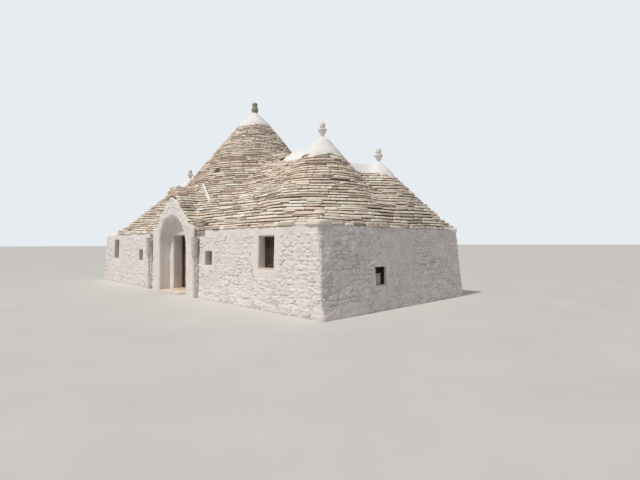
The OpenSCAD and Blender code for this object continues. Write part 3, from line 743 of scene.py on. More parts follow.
def crest_mesh():
    """A coat over the roof where the mask is above 0."""
    step = 0.032
    X, Y = np.meshgrid(np.arange(-EX - 0.015, EX + step, step), np.arange(-EY - 0.015, EY + step, step))
    mask = white_mask(X, Y)
    inside = mask > 0
    cell = inside[:-1, :-1] | inside[1:, :-1] | inside[:-1, 1:] | inside[1:, 1:]
    use = np.zeros(X.shape, bool)
    for part in (use[:-1, :-1], use[1:, :-1], use[:-1, 1:], use[1:, 1:]):
        part |= cell
    # points outside the mask are drawn in to its edge
    gmx, gmy = grad(white_mask, X, Y, 0.01)
    g2 = gmx ** 2 + gmy ** 2 + 1e-4
    out = use & ~inside
    sx = np.where(out, -mask * gmx / g2, 0)
    sy = np.where(out, -mask * gmy / g2, 0)
    sl = np.hypot(sx, sy)
    lim = np.where(sl > step, step / np.maximum(sl, 1e-9), 1)
    Xs, Ys = X + sx * lim, Y + sy * lim
    Z = np.maximum(form(Xs, Ys), roof(Xs, Ys) - 0.01)
    thick = np.full(Z.shape, LIME_THICK)
    for c in CONES.values():
        thick = np.minimum(thick, 0.004 + 0.16 * away(Xs, Ys, c))
    thick = thick + 0.050 * (Z > 6.0) * smooth(0.6, 0.1, away(Xs, Ys, CONES["tall"]))
    thick = np.minimum(thick, np.where(Z < EAVE_BAND, 0.016, 0.2))
    t, off = along(Xs, Ys, CONES["front"], CONES["back"])
    thick = np.minimum(thick, np.where((t > 0.3) & (t < 0.9) & (off < 0.5),
                                       0.022 + 0.044 * smooth(0.75, 0.3, t), LIME_THICK))
    # courses of slabs still show through the limewash
    wave = np.abs(((Z + 0.05 * vnoise(Xs * 1.5, Ys * 1.5, 83)) / COURSE_H) % 1 - 0.5)
    lumps = 0.012 * fbm(Xs * 3.2, Ys * 3.2, 81) + 0.010 * fbm(Xs * 9, Ys * 9, 82)
    Z = Z + thick + 0.018 * wave * thick / LIME_THICK + lumps * (0.2 + 0.8 * thick / LIME_THICK)
    Z = Z - np.where(Z < EAVE_BAND, 0.012, 0.05) * smooth(0.10, 0.0, mask)
    idx = -np.ones(X.shape, int)
    idx[use] = np.arange(use.sum())
    verts = list(zip(Xs[use], Ys[use], Z[use]))
    faces = [q for q, k in zip(grid_faces(idx, flip=True), cell.ravel()) if k]
    # the rim turns down into the slabs
    low = {}
    for a, b in open_edges(faces):
        for v in (a, b):
            if v not in low:
                p = verts[v]
                low[v] = len(verts)
                verts.append((p[0], p[1], p[2] - RIM))
        faces.append((b, a, low[a], low[b]))
    new_obj("whitewash_crests", verts, faces, M_CREST, tone=tone_of(len(verts), share=0.0))


crest_mesh()


def ribbon(name, pts, width, up, taper=1.0):
    """A thin line of limewash laid over the slabs."""
    p = np.array(pts, float)
    way = run(p)
    s = np.linspace(0, way[-1], int(way[-1] / 0.025))
    x, y = np.interp(s, way, p[:, 0]), np.interp(s, way, p[:, 1])
    dx, dy = np.gradient(x), np.gradient(y)
    n = np.hypot(dx, dy)
    k = np.linspace(-1, 1, 5)
    w = (width * (1 + 0.35 * vnoise(s * 6, s * 0 + 2.2, 87))
         * np.minimum(1, np.minimum(s, way[-1] - s) / 0.10 + 0.3))
    w = w * np.linspace(1, taper, len(s))
    X = x[:, None] - dy[:, None] / n[:, None] * w[:, None] * k[None]
    Y = y[:, None] + dx[:, None] / n[:, None] * w[:, None] * k[None]
    Z = roof(X, Y) + up * (1 - 0.5 * np.abs(k[None]) ** 3) + 0.010 * fbm(X * 9, Y * 9, 88)
    new_obj(name, np.stack([X, Y, Z], -1), grid_faces(numbers(*X.shape)), M_CREST, tone=tone_of(X.size))


ribbon("valley_line", [(0.42, -2.14), (0.80, -2.25), (1.20, -2.37), (1.54, -2.46)], 0.034, 0.080)
ribbon("tall_cone_line", [(-0.40, -0.09), (-0.56, -0.42), (-0.72, -0.70), (-0.88, -0.98)],
       0.17, 0.095, 0.25)


# ---- rubble wall skins ----
BIG_STONE, SMALL_STONE, PIT = (0.23, 0.105), (0.098, 0.054), (0.060, 0.045)   # lengths and heights
RELIEF_MID, SKIN, OPENING_R = 0.018, 0.028, 0.030   # middle of the relief, skin, rounded arris
BED_Z = (0.42, 0.78, 1.08, 1.34, 1.62, 1.86)


def joint(c, width):
    """1 in the middle of the joint between two cells, 0 on the stones."""
    return np.exp(-((c[1] - c[0]) / width) ** 2)


def turned(c, kz, kx):
    """Each stone's own slope over its face."""
    return ((np.modf(c[2] * 37.7)[0] - 0.5) * c[4] * kz
            + (np.modf(c[2] * 17.3)[0] - 0.5) * c[3] * kx)


def rubble(u, z, seed, soft_mask):
    """Relief of whitewashed rubble in metres; soft_mask 1 = smooth plaster."""
    wx = u + 0.05 * vnoise(u * 2.3, z * 3.1, seed + 1) + 0.022 * vnoise(u * 7.1, z * 8.3, seed + 11)
    wz = z + 0.040 * vnoise(u * 0.9, z * 2.7, seed + 2) + 0.016 * vnoise(u * 6.7, z * 8.1, seed + 12)
    big = cells(wx / BIG_STONE[0], wz / BIG_STONE[1], seed + 3, 0.95, 0.60)
    sml = cells(wx / SMALL_STONE[0], wz / SMALL_STONE[1], seed + 4, 0.95, 0.85)
    pick = smooth(-0.30, 0.30, vnoise(u * 1.1, z * 1.9, seed + 6))
    # joints come and go, so that the limewash bridges some of them
    open_b = 0.35 + 0.65 * smooth(-0.45, 0.25, vnoise(u * 3.7, z * 5.3, seed + 21))
    open_s = smooth(-0.40, 0.35, vnoise(u * 5.1, z * 6.9, seed + 22))
    rel = (0.021 + (0.016 * (big[2] - 0.5) + 0.15 * turned(big, 0.120, 0.27)) * (1 - 0.6 * pick)
           + (0.011 * (sml[2] - 0.5) + 0.19 * turned(sml, 0.064, 0.115)) * (0.25 + 0.75 * pick))
    rel = (rel - 0.015 * (joint(big, 0.12) * open_b) * (1 - 0.5 * pick)
           - 0.010 * (joint(sml, 0.20) * open_s) * (0.3 + 0.7 * pick))
    rel = (rel + 0.006 * np.maximum(0.6 - big[0], 0) * (1 - pick)
           + 0.0080 * fbm(u * 8, z * 14, seed + 7) + 0.0060 * fbm(u * 19, z * 27, seed + 8))
    pits = cells(u / PIT[0], z / PIT[1], seed + 25, 1.0, 1.0)
    rel = rel - 0.012 * smooth(0.34, 0.14, pits[0]) * (pits[2] > 0.66)
    flat = (0.016 + 0.005 * fbm(u * 2.3, z * 2.3, seed + 9)
            + 0.0030 * fbm(u * 14, z * 14, seed + 10))
    return rel * (1 - soft_mask) + flat * soft_mask


def ledge_joints(u, z, seed, amount):
    """Long level joints where one bed of stone ends and the next begins."""
    r = 0.0
    for k, zz in enumerate(BED_Z):
        row = u * 0 + k * 3.3
        line = zz + 0.035 * vnoise(u * 0.8, row, seed + 50) + 0.012 * vnoise(u * 4.0, row, seed + 51)
        on = smooth(-0.25, 0.25, vnoise(u * 1.1, u * 0 + k * 7.7, seed + 52))
        r = r - amount * on * np.exp(-((z - line) / 0.014) ** 2)
        r = r + 0.35 * amount * on * np.exp(-((z - line + 0.035) / 0.03) ** 2)
    return r


def rounding(way, r):
    """Drop of a face that rounds off over the last r metres before an edge."""
    q = np.clip((r - way) / r, 0, 1)
    return (1 - np.sqrt(np.maximum(1 - q ** 2, 0))) * r


def wall_skin(name, u0, u1, place, holes, seed, step, soft, tone_fn, top_z=WALL_H, ends=(0, 0),
              beds=0.0, foot=0.0, rough=1.0):
    """A wall face as a relief grid with rounded openings.
    place(u, z, out) gives the 3-D point `out` metres proud of the face; a hole is
    (u0, u1, z0, z1, width of the plaster band, depth of the reveal); step is the cell size;
    beds, foot and rough are the depth of level joints, the height of the big foot stones
    and the strength of the relief."""
    us = np.linspace(u0, u1, max(2, int((u1 - u0) / step)))
    zs = np.linspace(0.0, top_z, max(2, int(top_z / step)))
    for h in holes:
        for e, arr in ((h[0], us), (h[1], us), (h[2], zs), (h[3], zs)):
            arr[np.argmin(np.abs(arr - e))] = e
    us, zs = np.sort(us), np.sort(zs)
    U, Z = np.meshgrid(us, zs)
    UC, ZC = np.meshgrid((us[:-1] + us[1:]) / 2, (zs[:-1] + zs[1:]) / 2)
    keep = np.ones(UC.shape, bool)
    sm = np.zeros(U.shape)
    hd = np.full(U.shape, 9.0)
    for h in holes:
        d = np.hypot(np.maximum(np.maximum(h[0] - U, U - h[1]), 0),
                     np.maximum(np.maximum(h[2] - Z, Z - h[3]), 0))
        hd = np.minimum(hd, d)
        sm = np.maximum(sm, smooth(h[4] + 0.10, h[4] - 0.02, d + 0.05 * vnoise(U * 3, Z * 3, seed + 40)))
        keep &= ~((UC > h[0]) & (UC < h[1]) & (ZC > h[2]) & (ZC < h[3]))
    sm = np.maximum(sm, soft(U, Z))
    R = (rubble(U, Z, seed, sm) - RELIEF_MID) * rough + SKIN
    if beds:
        R = R + ledge_joints(U, Z, seed, beds) * (1 - 0.8 * sm)
    if foot:
        # big rounded stones at the foot of the wall
        q = smooth(foot, 0.05, Z)
        bulge = cells((U + 0.1 * vnoise(U * 2, Z * 2, seed + 31)) / 0.36, Z / 0.21, seed + 30, 0.9, 0.7)
        swell = 1 - np.clip(bulge[0] / 0.7, 0, 1) ** 2
        R = R * (1 - 0.25 * q) + q * (0.004 + 0.018 * swell * (0.4 + bulge[2])
                                      - 0.016 * joint(bulge, 0.12))
    R = np.maximum(R, 0.004) - rounding(hd, OPENING_R)
    for way, r in ((U - u0, ends[0]), (u1 - U, ends[1])):
        if r:
            R = R - rounding(way, r) * 0.75
    verts = [tuple(p) for p in place(U, Z, R).reshape(-1, 3)]
    faces = [q for q, k in zip(grid_faces(numbers(*U.shape), flip=True), keep.ravel()) if k]
    Uf, Zf = U.ravel(), Z.ravel()
    low, low2, shade = {}, {}, {}
    eps = 1e-6

    def add(u, z, out):
        verts.append(tuple(place(np.array(u), np.array(z), np.array(out))))
        return len(verts) - 1

    # reveals of the openings, and a short rim that turns in round the wall
    for a, b in open_edges(faces):
        um, zm = (Uf[a] + Uf[b]) / 2, (Zf[a] + Zf[b]) / 2
        h = next((h for h in holes if h[0] - eps <= um <= h[1] + eps
                  and h[2] - eps <= zm <= h[3] + eps), None)
        for v in (a, b):
            if (v, h) in low:
                continue
            u, z = Uf[v], Zf[v]
            if h is None:
                low[v, h] = add(u, z, -0.03)
                continue
            du = 0.008 * (float(u - h[0] < eps) - float(h[1] - u < eps))
            dz = 0.008 * (float(z - h[2] < eps) - float(h[3] - z < eps))
            w = 0.004 * float(vnoise(np.array(u * 9.0), np.array(z * 9.0), seed + 44))
            low[v, h] = add(u + du * 0.6, z + dz * 0.6, -0.05 + w)
            low2[v] = add(u + du, z + dz, -h[5])
            # painted shade: the reveals darken towards their back, more in the small windows and the meter
            # niche
            shade[low[v, h]], shade[low2[v]] = (0.96, 0.86) if h[4] > 0.08 else (0.88, 0.68)
        faces.append((b, a, low[a, h], low[b, h]))
        if h is not None:
            faces.append((low[b, h], low[a, h], low2[a], low2[b]))
    verts = [(p[0], p[1], max(float(p[2]), 0.0)) for p in verts]
    tone = tone_of(len(verts), share=0.0)
    tone[:len(Uf), :3] = tone_fn(Uf, Zf, R.ravel())
    tone[:len(Uf), 3] = 1
    # painted shade in the reveals: darker towards the back, more in the small windows and the meter niche
    for v, k in shade.items():
        tone[v] = (k, k * 0.97, k * 0.96, 1)
    new_obj(name, verts, faces, M_WALL, tone=tone)
    print(name, len(faces) * 2, "tris")


def lean(z, b=BATTER):
    """How far a wall face has leaned in at height z."""
    return b * np.clip(z, 0, WALL_H) / WALL_H


def wall_place(axis, face, turn):
    """Place function of the wall on the side `face` of x (axis 0) or y (axis 1). The way along
    it is turned by `turn`, and its ends are pulled in with the lean of the walls beside it."""
    half, batter = ((HALF_L, END_BATTER), (HALF_D, BATTER))[axis]
    end, end_batter, straight = ((HALF_D, BATTER, 1.9), (HALF_L, END_BATTER, 5.9))[axis]

    def place(u, z, out):
        k = np.clip((np.abs(u) - straight) / (end - straight), 0, 1)
        way = turn * (u - np.sign(u) * k * lean(z, end_batter))
        flat = face * (half - lean(z, batter) + out)
        return np.stack([way, flat, z] if axis else [flat, way, z], -1)
    return place


def dirt_and_recess_shade_tone(seed, recess_shade_amount=1.0, warm=1.0):
    """Tone function: dirt at the foot, and painted shade where the relief lies deep."""
    def f(u, z, r):
        n = fbm(u * 1.7, z * 2.3, seed)
        low = np.clip(1 - z / 0.35, 0, 1)
        # painted shade: darker in the recesses of the relief, where shade falls
        deep_shade = np.clip((0.020 - r) / 0.018, 0, 1)
        k = 0.07 * low * (0.6 + 0.4 * n) + 0.30 * recess_shade_amount * deep_shade
        c = np.stack([1 - k * (1 - 0.15 * warm), 1 - k, 1 - k * (1 + 0.25 * warm)], -1)
        return np.clip(c, 0, 1.05)
    return f


def top_soft(u, z):
    """Plaster band under the eave, and smoother stretches in the upper half."""
    band = 0.85 * smooth(WALL_H - 0.22, WALL_H - 0.10, z + 0.05 * vnoise(u * 1.9, z * 0 + 4.4, 91))
    patch = 0.55 * smooth(0.15, 0.55, vnoise(u * 0.75, z * 1.1, 92)) * smooth(0.9, 1.5, z)
    return np.maximum(band, patch)


def side_soft(u, z):
    """A few smoother stretches."""
    return 0.05 + 0.35 * smooth(0.0, 0.5, vnoise(u * 0.9, z * 1.3, 93))


def front_holes(side):
    """The large and the small window on one side of the portal."""
    return [(x - w / 2, x + w / 2, WIN_Z, WIN_Z + h, band, 0.19) for x, w, h, band in (
        (ROW_X + side * WIN_X, WIN_W, WIN_H, 0.20), (ROW_X + side * SMALL_X, SMALL_W, SMALL_W, 0.06))]


LONG, DEEP = HALF_L + 0.012, HALF_D + 0.012   # the skins meet round the corners
wall_skin("wall_front_right", PX + PORTAL_HALF, LONG, wall_place(1, -1, 1), front_holes(1),
          11, 0.0145, top_soft, dirt_and_recess_shade_tone(5, 1.0, 0.2), ends=(0, 0.035), foot=0.62, rough=1.3, beds=0.012)
wall_skin("wall_front_left", -LONG, PX - PORTAL_HALF, wall_place(1, -1, 1), front_holes(-1),
          12, 0.022, top_soft, dirt_and_recess_shade_tone(6, 1.0, 0.2), ends=(0.05, 0), foot=0.5, rough=1.4, beds=0.012)
wall_skin("wall_right", -DEEP, DEEP, wall_place(0, 1, 1), [(*METER, 0.035, 0.14)],
          13, 0.0145, side_soft, dirt_and_recess_shade_tone(7, 0.9, 0.0), ends=(0.030, 0.05), beds=0.020, rough=1.9)
wall_skin("wall_left", -DEEP, DEEP, wall_place(0, -1, -1), [],
          14, 0.026, side_soft, dirt_and_recess_shade_tone(8, 0.9, 0.2), ends=(0.05, 0.05), beds=0.016, rough=1.6)
wall_skin("wall_back", -LONG, LONG, wall_place(1, 1, -1), [],
          15, 0.030, top_soft, dirt_and_recess_shade_tone(9, 0.9, 0.2), ends=(0.05, 0.05), foot=0.5, beds=0.012, rough=1.3)


# ---- rough stones ----
def noise3(p, k, seed):
    return (fbm(p[:, 0] * k + p[:, 2] * k * 0.9, p[:, 1] * k - p[:, 2] * k * 0.7, seed)
            + fbm(p[:, 1] * k + 5.2, p[:, 2] * k + p[:, 0] * k * 0.6, seed + 3)) * 0.6


def cube_net(n):
    """Unit cube surface with n cells along each edge, welded."""
    ids, faces = {}, []
    g = np.linspace(-1, 1, n + 1)
    for axis, side, i, j in product(range(3), (-1, 1), range(n), range(n)):
        q = []
        for di, dj in SQUARE:
            p = [0, 0, 0]
            p[axis], p[(axis + 1) % 3], p[(axis + 2) % 3] = side, g[i + di], g[j + dj]
            q.append(ids.setdefault(tuple(np.round(p, 5)), len(ids)))
        faces.append(tuple(q if side > 0 else q[::-1]))
    return np.array(list(ids), float), faces


NET = cube_net(7)


def rotated(a, b, angle):
    return a * math.cos(angle) - b * math.sin(angle), a * math.sin(angle) + b * math.cos(angle)


def rock(c, size, r, turn=0.0, tilt=0.0, square=7.0, rough=0.05):
    """A rough stone: rounded box with uneven faces. turn about z, tilt about y."""
    p = NET[0]
    p = p / ((np.abs(p) ** square).sum(1) ** (1 / square))[:, None]
    seed = int(r.integers(1, 9000))
    p = p * (1 + rough * noise3(p, 1.3, seed)[:, None] + rough * 0.5 * noise3(p, 3.1, seed + 50)[:, None])
    x, y, z = (p * np.asarray(size) / 2).T
    x, z = rotated(x, z, tilt)
    x, y = rotated(x, y, turn)
    return np.stack([x, y, z], 1) + np.asarray(c), NET[1]


def stone(r, c, size, colour, spread, turn=0.0, **kw):
    """A rock with a random turn up to `turn` and a random share of its colour."""
    v, f = rock(c, size, r, turn=float(r.uniform(-turn, turn)) if turn else 0.0, **kw)
    return v, f, np.array(colour) * float(r.uniform(*spread))


# ---- portal: plastered piers, arch and gable as one rounded skin ----
# outline of the portal on one side: distance from the middle, and height
GABLE = [(PORTAL_HALF, SPRING), (PORTAL_HALF, 2.18), (1.17, 2.28), (0.93, 2.57), (0.45, 3.01), (0.0, GABLE_Z)]


def gable_out(th):
    """Distance from the arch centre to the outer outline at an angle."""
    c, s = abs(math.cos(th)), math.sin(th)
    best = 9.0
    for (x0, z0), (x1, z1) in zip(GABLE[:-1], GABLE[1:]):
        dx, dz = x1 - x0, z1 - z0
        den = c * dz - s * dx
        if abs(den) < 1e-9:
            continue
        t = (x0 * dz - (z0 - SPRING) * dx) / den
        u = (t * c - x0) / dx if abs(dx) > abs(dz) else (t * s - (z0 - SPRING)) / dz
        if -1e-6 <= u <= 1 + 1e-6 and t > 0:
            best = min(best, t)
    return best


def bend(at, r, way, q):
    """A point of the profile on the rounding of the inner (way -1) or outer edge."""
    c, s = math.cos(math.radians(q)), math.sin(math.radians(q))
    return at - way * r * (1 - c), FRONT_Y + r * (1 - s), way * c, -s


def portal_skin():
    """Profiles from the niche over the front face to the roof, set along the arch and its piers."""
    nz, na, nf = 84, 180, 40                  # cells up a pier, round the arch, over the face
    # a station: inner point, direction, width
    st = [((PX - ARCH_R, SPRING * k / nz), (-1.0, 0.0), PORTAL_HALF - ARCH_R) for k in range(nz)]
    for k in range(na + 1):
        th = math.pi * (1 - k / na)
        d = (math.cos(th), math.sin(th))
        st.append(((PX + ARCH_R * d[0], SPRING + ARCH_R * d[1]), d, gable_out(th) - ARCH_R))
    st += [((PX + ARCH_R, SPRING * (1 - (k + 1) / nz)), (1.0, 0.0), PORTAL_HALF - ARCH_R)
           for k in range(nz)]
    rin, rout, back = 0.045, 0.035, -2.70     # roundings of the two edges, and the last y
    way = run(np.array([at for at, _, _ in st]))
    rows = []
    for ((ix, iz), (dx, dz), W), arc in zip(st, way):
        # the profile: way out, y, and the two parts of the normal
        prof = [(0.0, y, -1.0, 0.0) for y in np.linspace(NICHE_Y + 0.015, FRONT_Y + rin, 10)]
        prof += [bend(0.0, rin, -1, q) for q in (22, 45, 68)]
        prof += [(rin + (W - rin - rout) * k / nf, FRONT_Y, 0.0, -1.0) for k in range(nf + 1)]
        prof += [bend(W, rout, 1, q) for q in (68, 45, 22)]
        prof += [(W, y, 1.0, 0.0) for y in np.linspace(FRONT_Y + rout, back, 10)]
        pr = np.array(prof)
        dd = run(pr[:, :2])
        u = np.full(len(pr), arc)
        up = float(smooth(1.75, 2.25, np.array(iz)))
        rel = 0.008 + (0.70 + 0.45 * up) * rubble(u, dd + 1.0, 23, np.full(len(pr), 0.45 - 0.40 * up))
        cut = np.exp(-(((arc + 0.03 * math.sin(7 * arc)) % 0.31 - 0.155) / 0.014) ** 2)
        rel = rel - 0.006 * cut * smooth(0.0, 0.3, vnoise(u * 1.4, dd * 2.2, 29))
        if iz <= 0.02:
            rel = rel + 0.004
        sx = pr[:, 0] + pr[:, 2] * rel
        rows.append(np.stack([ix + dx * sx, pr[:, 1] + pr[:, 3] * rel, np.maximum(iz + dz * sx, 0.0)], 1))
    P = np.array(rows)
    m, n = P.shape[:2]
    P = P.reshape(-1, 3)
    tone = tone_of(m * n)
    tone[:, :3] = 1 - np.clip(1 - P[:, 2:] / 0.3, 0, 1) * np.array([0.06, 0.09, 0.15])
    new_obj("portal_plaster", P, grid_faces(numbers(m, n), flip=True), M_WALL, tone=tone)


portal_skin()
wall_skin("wall_niche", PX - ARCH_R - 0.03, PX + ARCH_R + 0.03,
          lambda u, z, out: np.stack([u, NICHE_Y - out, z], -1),
          [(DOOR_X - DOOR_W / 2, DOOR_X + DOOR_W / 2, -0.001, DOOR_TOP, 0.10, 0.298)],
          16, 0.030, lambda u, z: 0.82, dirt_and_recess_shade_tone(10), top_z=SPRING + ARCH_R + 0.02)


# ---- rough slabs on the gable and the shoulders ----
def beside(side, x):
    """Place x metres beyond the portal's flank on one side."""
    return PX + side * (PORTAL_HALF + x)


def coping():
    """Rough stones round the head of the portal."""
    r = np.random.default_rng(21)
    # rough stones on the point of the gable
    stones("gable_point_stones", [
        stone(r, (PX + x, y - 0.02, z), (w, d, t), (0.66, 0.56, 0.46), (0.85, 1.12), 0.15,
              tilt=tilt, rough=0.09)
        for x, y, z, w, d, t, tilt in (
            (-0.26, -3.03, 3.27, 0.30, 0.26, 0.12, 0.30), (0.02, -3.05, 3.33, 0.30, 0.22, 0.11, 0.0),
            (0.24, -3.02, 3.27, 0.26, 0.28, 0.10, -0.38), (-0.12, -3.00, 3.42, 0.32, 0.30, 0.09, 0.10),
            (0.14, -2.98, 3.41, 0.26, 0.30, 0.08, -0.12), (-0.02, -2.96, 3.49, 0.30, 0.34, 0.07, 0.03))])
    ob = stones("shoulder_slabs", [
        stone(r, (beside(side, x), -2.91, z), (w, 0.44, t), (0.84, 0.79, 0.69),
              (0.9, 1.06), 0.05, tilt=-side * 0.10)
        for side in (-1, 1) for x, z, w, t in ((-0.21, 2.245, 0.36, 0.080), (-0.17, 2.315, 0.32, 0.060))])
    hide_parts("shoulder_stones")
    # bare stones beside the portal, under the eave: on its flank, above and on the wall
    items = []
    for side in (-1, 1):
        for y, w, z, h in ((-2.99, 0.22, 1.97, 0.13), (-2.80, 0.18, 1.98, 0.15),
                           (-2.97, 0.26, 2.10, 0.12), (-2.76, 0.16, 2.12, 0.12)):
            items.append(stone(r, (beside(side, 0.006), y, z), (0.07, w, h), (0.46, 0.41, 0.36),
                               (0.85, 1.12), rough=0.06))
        upper = ((0.15, 0.28, 2.115, 0.13), (0.41, 0.24, 2.12, 0.12), (0.13, 0.24, 2.245, 0.12),
                 (0.36, 0.26, 2.24, 0.11), (0.20, 0.30, 2.345, 0.09)) if side > 0 else ()
        for x, w, z, h in upper:
            items.append(stone(r, (beside(side, x), -2.93, z), (w, 0.30, h), (0.56, 0.49, 0.44),
                               (0.85, 1.15), 0.08, rough=0.07))
        for x, w, z, h in ((0.20, 0.26, 1.985, 0.11), (0.42, 0.22, 1.99, 0.10)):
            items.append(stone(r, (beside(side, x), -3.025, z), (w, 0.09, h), (0.44, 0.39, 0.34),
                               (0.9, 1.1), rough=0.07))
    stones("flank_stones", items)


coping()
v, f = rock((EX - 0.13, -EY + 0.13, WALL_H + 0.046), (0.40, 0.40, 0.094), np.random.default_rng(5),
            turn=0.04, square=9, rough=0.03)
stones("eave_corner_stone", [(v, f, (0.93, 0.87, 0.80))])


# ---- turned and boxed pieces ----
def lathe(profile, centre, seed, rough, n=32):
    """A turned shape with hand-worked unevenness; profile is (radius, height)."""
    prof = np.array(profile, float)
    way = run(prof)
    m = max(len(prof) * 2, int(way[-1] / 0.014))
    s = np.linspace(0, way[-1], m)
    R, A = np.meshgrid(np.interp(s, way, prof[:, 0]), np.arange(n) / n * 2 * math.pi, indexing="ij")
    Z = np.repeat(np.interp(s, way, prof[:, 1])[:, None], n, 1)
    uneven = (fbm(np.cos(A) * 1.3 + Z * 7, np.sin(A) * 1.3 + Z * 5, seed)
              + 0.5 * fbm(np.cos(A) * 4 + Z * 19, np.sin(A) * 4, seed + 4))
    R = np.where(R > 0.004, R + rough * uneven, R)
    V = np.stack([centre[0] + R * np.cos(A), centre[1] + R * np.sin(A), centre[2] + Z], -1)
    return V.reshape(-1, 3), tube_faces(m, n)


def bar(x0, x1, y0, y1, z0, z1, b=0.004):
    """A box with chamfered edges; each corner has a point on each of its three faces."""
    lo, hi = np.array([x0, y0, z0]), np.array([x1, y1, z1])
    V, F, at = [], [], {}
    for s in product((0, 1), repeat=3):
        c = np.where(s, hi, lo)
        for ax in range(3):
            q = c + np.where(s, -b, b)
            q[ax] = c[ax]
            at[(*s, ax)] = len(V)
            V.append(q)

    def corner(ax, s, a, c):
        """The corner on side s along ax and on sides a and c along the next two axes."""
        t = [0, 0, 0]
        t[ax], t[(ax + 1) % 3], t[(ax + 2) % 3] = s, a, c
        return t

    for ax, s in product(range(3), (0, 1)):
        q = [at[(*corner(ax, s, a, c), ax)] for a, c in SQUARE]
        F.append(q if s else q[::-1])
    for ax, a, c in product(range(3), (0, 1), (0, 1)):
        t0, t1, u, v = corner(ax, 0, a, c), corner(ax, 1, a, c), (ax + 1) % 3, (ax + 2) % 3
        q = [at[(*t0, u)], at[(*t1, u)], at[(*t1, v)], at[(*t0, v)]]
        F.append(q if a == c else q[::-1])
    for s in product((0, 1), repeat=3):
        q = [at[(*s, ax)] for ax in range(3)]
        F.append(q if sum(s) % 2 else q[::-1])
    return np.array(V), F


def joined(name, parts, mat, slot, body="building", smooth_shade=False):
    return new_obj(name, *merge(parts), mat, slot=slot, body=body, smooth_shade=smooth_shade)


# profiles of the turned pieces: (radius, height)
PIN = [(0.0, -0.06), (0.052, -0.06), (0.036, 0.0), (0.037, 0.03), (0.058, 0.095), (0.098, 0.175),
       (0.126, 0.220), (0.138, 0.246), (0.136, 0.262), (0.100, 0.276), (0.056, 0.288), (0.054, 0.300),
       (0.074, 0.325), (0.086, 0.350), (0.083, 0.362), (0.088, 0.372), (0.084, 0.415), (0.066, 0.452),
       (0.036, 0.470), (0.0, 0.474)]
PIN_TALL = [(0.0, 0.0), (0.095, 0.0), (0.095, 0.12), (0.120, 0.170), (0.131, 0.225), (0.126, 0.290),
            (0.104, 0.345), (0.080, 0.370), (0.080, 0.385), (0.100, 0.405), (0.108, 0.435),
            (0.098, 0.480), (0.064, 0.515), (0.0, 0.53)]
PIPE_LOW = [(0.0, 0.0), (0.050, 0.0), (0.050, 0.46), (0.0535, 0.465), (0.0535, 0.52), (0.050, 0.525),
            (0.050, 1.15), (0.0, 1.15)]
PIPE_TOP = [(0.0, 1.12), (0.054, 1.12), (0.054, 1.16), (0.060, 1.20), (0.088, 1.33), (0.093, 1.36),
            (0.093, 1.60), (0.098, 1.605), (0.098, 1.64), (0.093, 1.645), (0.093, 1.845),
            (0.099, 1.85), (0.099, 1.89), (0.0, 1.89)]
DIAL = [(0.0, 0.0), (0.055, 0.0), (0.058, 0.010), (0.058, 0.050), (0.050, 0.058), (0.044, 0.052),
        (0.0, 0.050)]

for cone, node in (("front", "pinnacle_front"), ("back", "pinnacle_back"), ("left", "pinnacle_left"),
                   ("tall", "pinnacle_tall")):
    lo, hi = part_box(node)
    tall = cone == "tall"
    v, f = lathe(PIN_TALL if tall else PIN, (*CONES[cone][:2], lo[2]), 40 + len(cone),
                 0.014 if tall else 0.007, 40)
    ob = new_obj("turned_" + node, v, f, M_TOPSTONE if tall else M_SMOOTH,
                 slot="roof_slabs" if tall else "whitewash",
                 tone=None if tall else tone_of(len(v), (0.97, 0.97, 0.96)))
    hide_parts(node)

# rainwater pipes: wide clay-coloured upper length, narrow pale pipe below
for side, tag, x in ((-1, "left", PX - PORTAL_HALF - 0.33), (1, "right", PX + PORTAL_HALF + 0.14)):
    foot = (x, -HALF_D - 0.12, 0.0)
    ob1 = new_obj("pipe_low_" + tag, *lathe(PIPE_LOW, foot, 60 + side, 0.0008), M_PIPE, slot="pipe")
    new_obj("pipe_top_" + tag, *lathe(PIPE_TOP, foot, 70 + side, 0.004), M_CLAYPIPE, slot="pipe")
    if side < 0:
        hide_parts("rain_pipes")

# door of upright boards on the inner ledges
BOARDS, BOARD_T = 6, 0.026
lo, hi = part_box("door_leaf")
w = (hi[0] - lo[0]) / BOARDS
parts = [bar(lo[0] + k * w + 0.0012, lo[0] + (k + 1) * w - 0.0012, lo[1], lo[1] + BOARD_T, lo[2], hi[2])
         for k in range(BOARDS)]
parts += [bar(lo[0] + 0.03, hi[0] - 0.03, lo[1] + BOARD_T, hi[1], z0, z0 + 0.13)
          for z0 in (lo[2] + 0.18, (lo[2] + hi[2]) / 2 - 0.07, hi[2] - 0.30)]
ob = joined("door_boards", parts, M_WOOD, "dark_wood", body="door")
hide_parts("door_leaf")


SIDES = ((1, "right"), (-1, "left"))


def ring(x0, x1, y0, y1, z0, z1, q, low):
    """Two stiles and a top rail q wide, and a bottom rail `low` high."""
    return [bar(x0, x0 + q, y0, y1, z0, z1), bar(x1 - q, x1, y0, y1, z0, z1),
            bar(x0 + q, x1 - q, y0, y1, z1 - q, z1), bar(x0 + q, x1 - q, y0, y1, z0, z0 + low)]


for side, tag in SIDES:
    # large window: outer frame, and two leaves with a low rail and a strip over their joint
    x = ROW_X + side * WIN_X
    x0, x1, z0, z1 = x - WIN_W / 2, x + WIN_W / 2, WIN_Z, WIN_Z + WIN_H
    y = WIN_Y
    q, e, g = 0.052, 0.040, 0.054         # outer frame, stiles, where the leaves start
    parts = ring(x0, x1, y - 0.012, y + 0.060, z0, z1, q, q)
    for a, b in ((x0 + g, x - 0.001), (x + 0.001, x1 - g)):
        parts += ring(a, b, y + 0.010, y + 0.046, z0 + g, z1 - g, e, 0.060)
    parts.append(bar(x - 0.016, x + 0.016, y - 0.002, y + 0.010, z0 + g, z1 - g))
    ob = joined("casement_" + tag, parts, M_WOOD, "dark_wood")
    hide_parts("window_frame_" + tag)

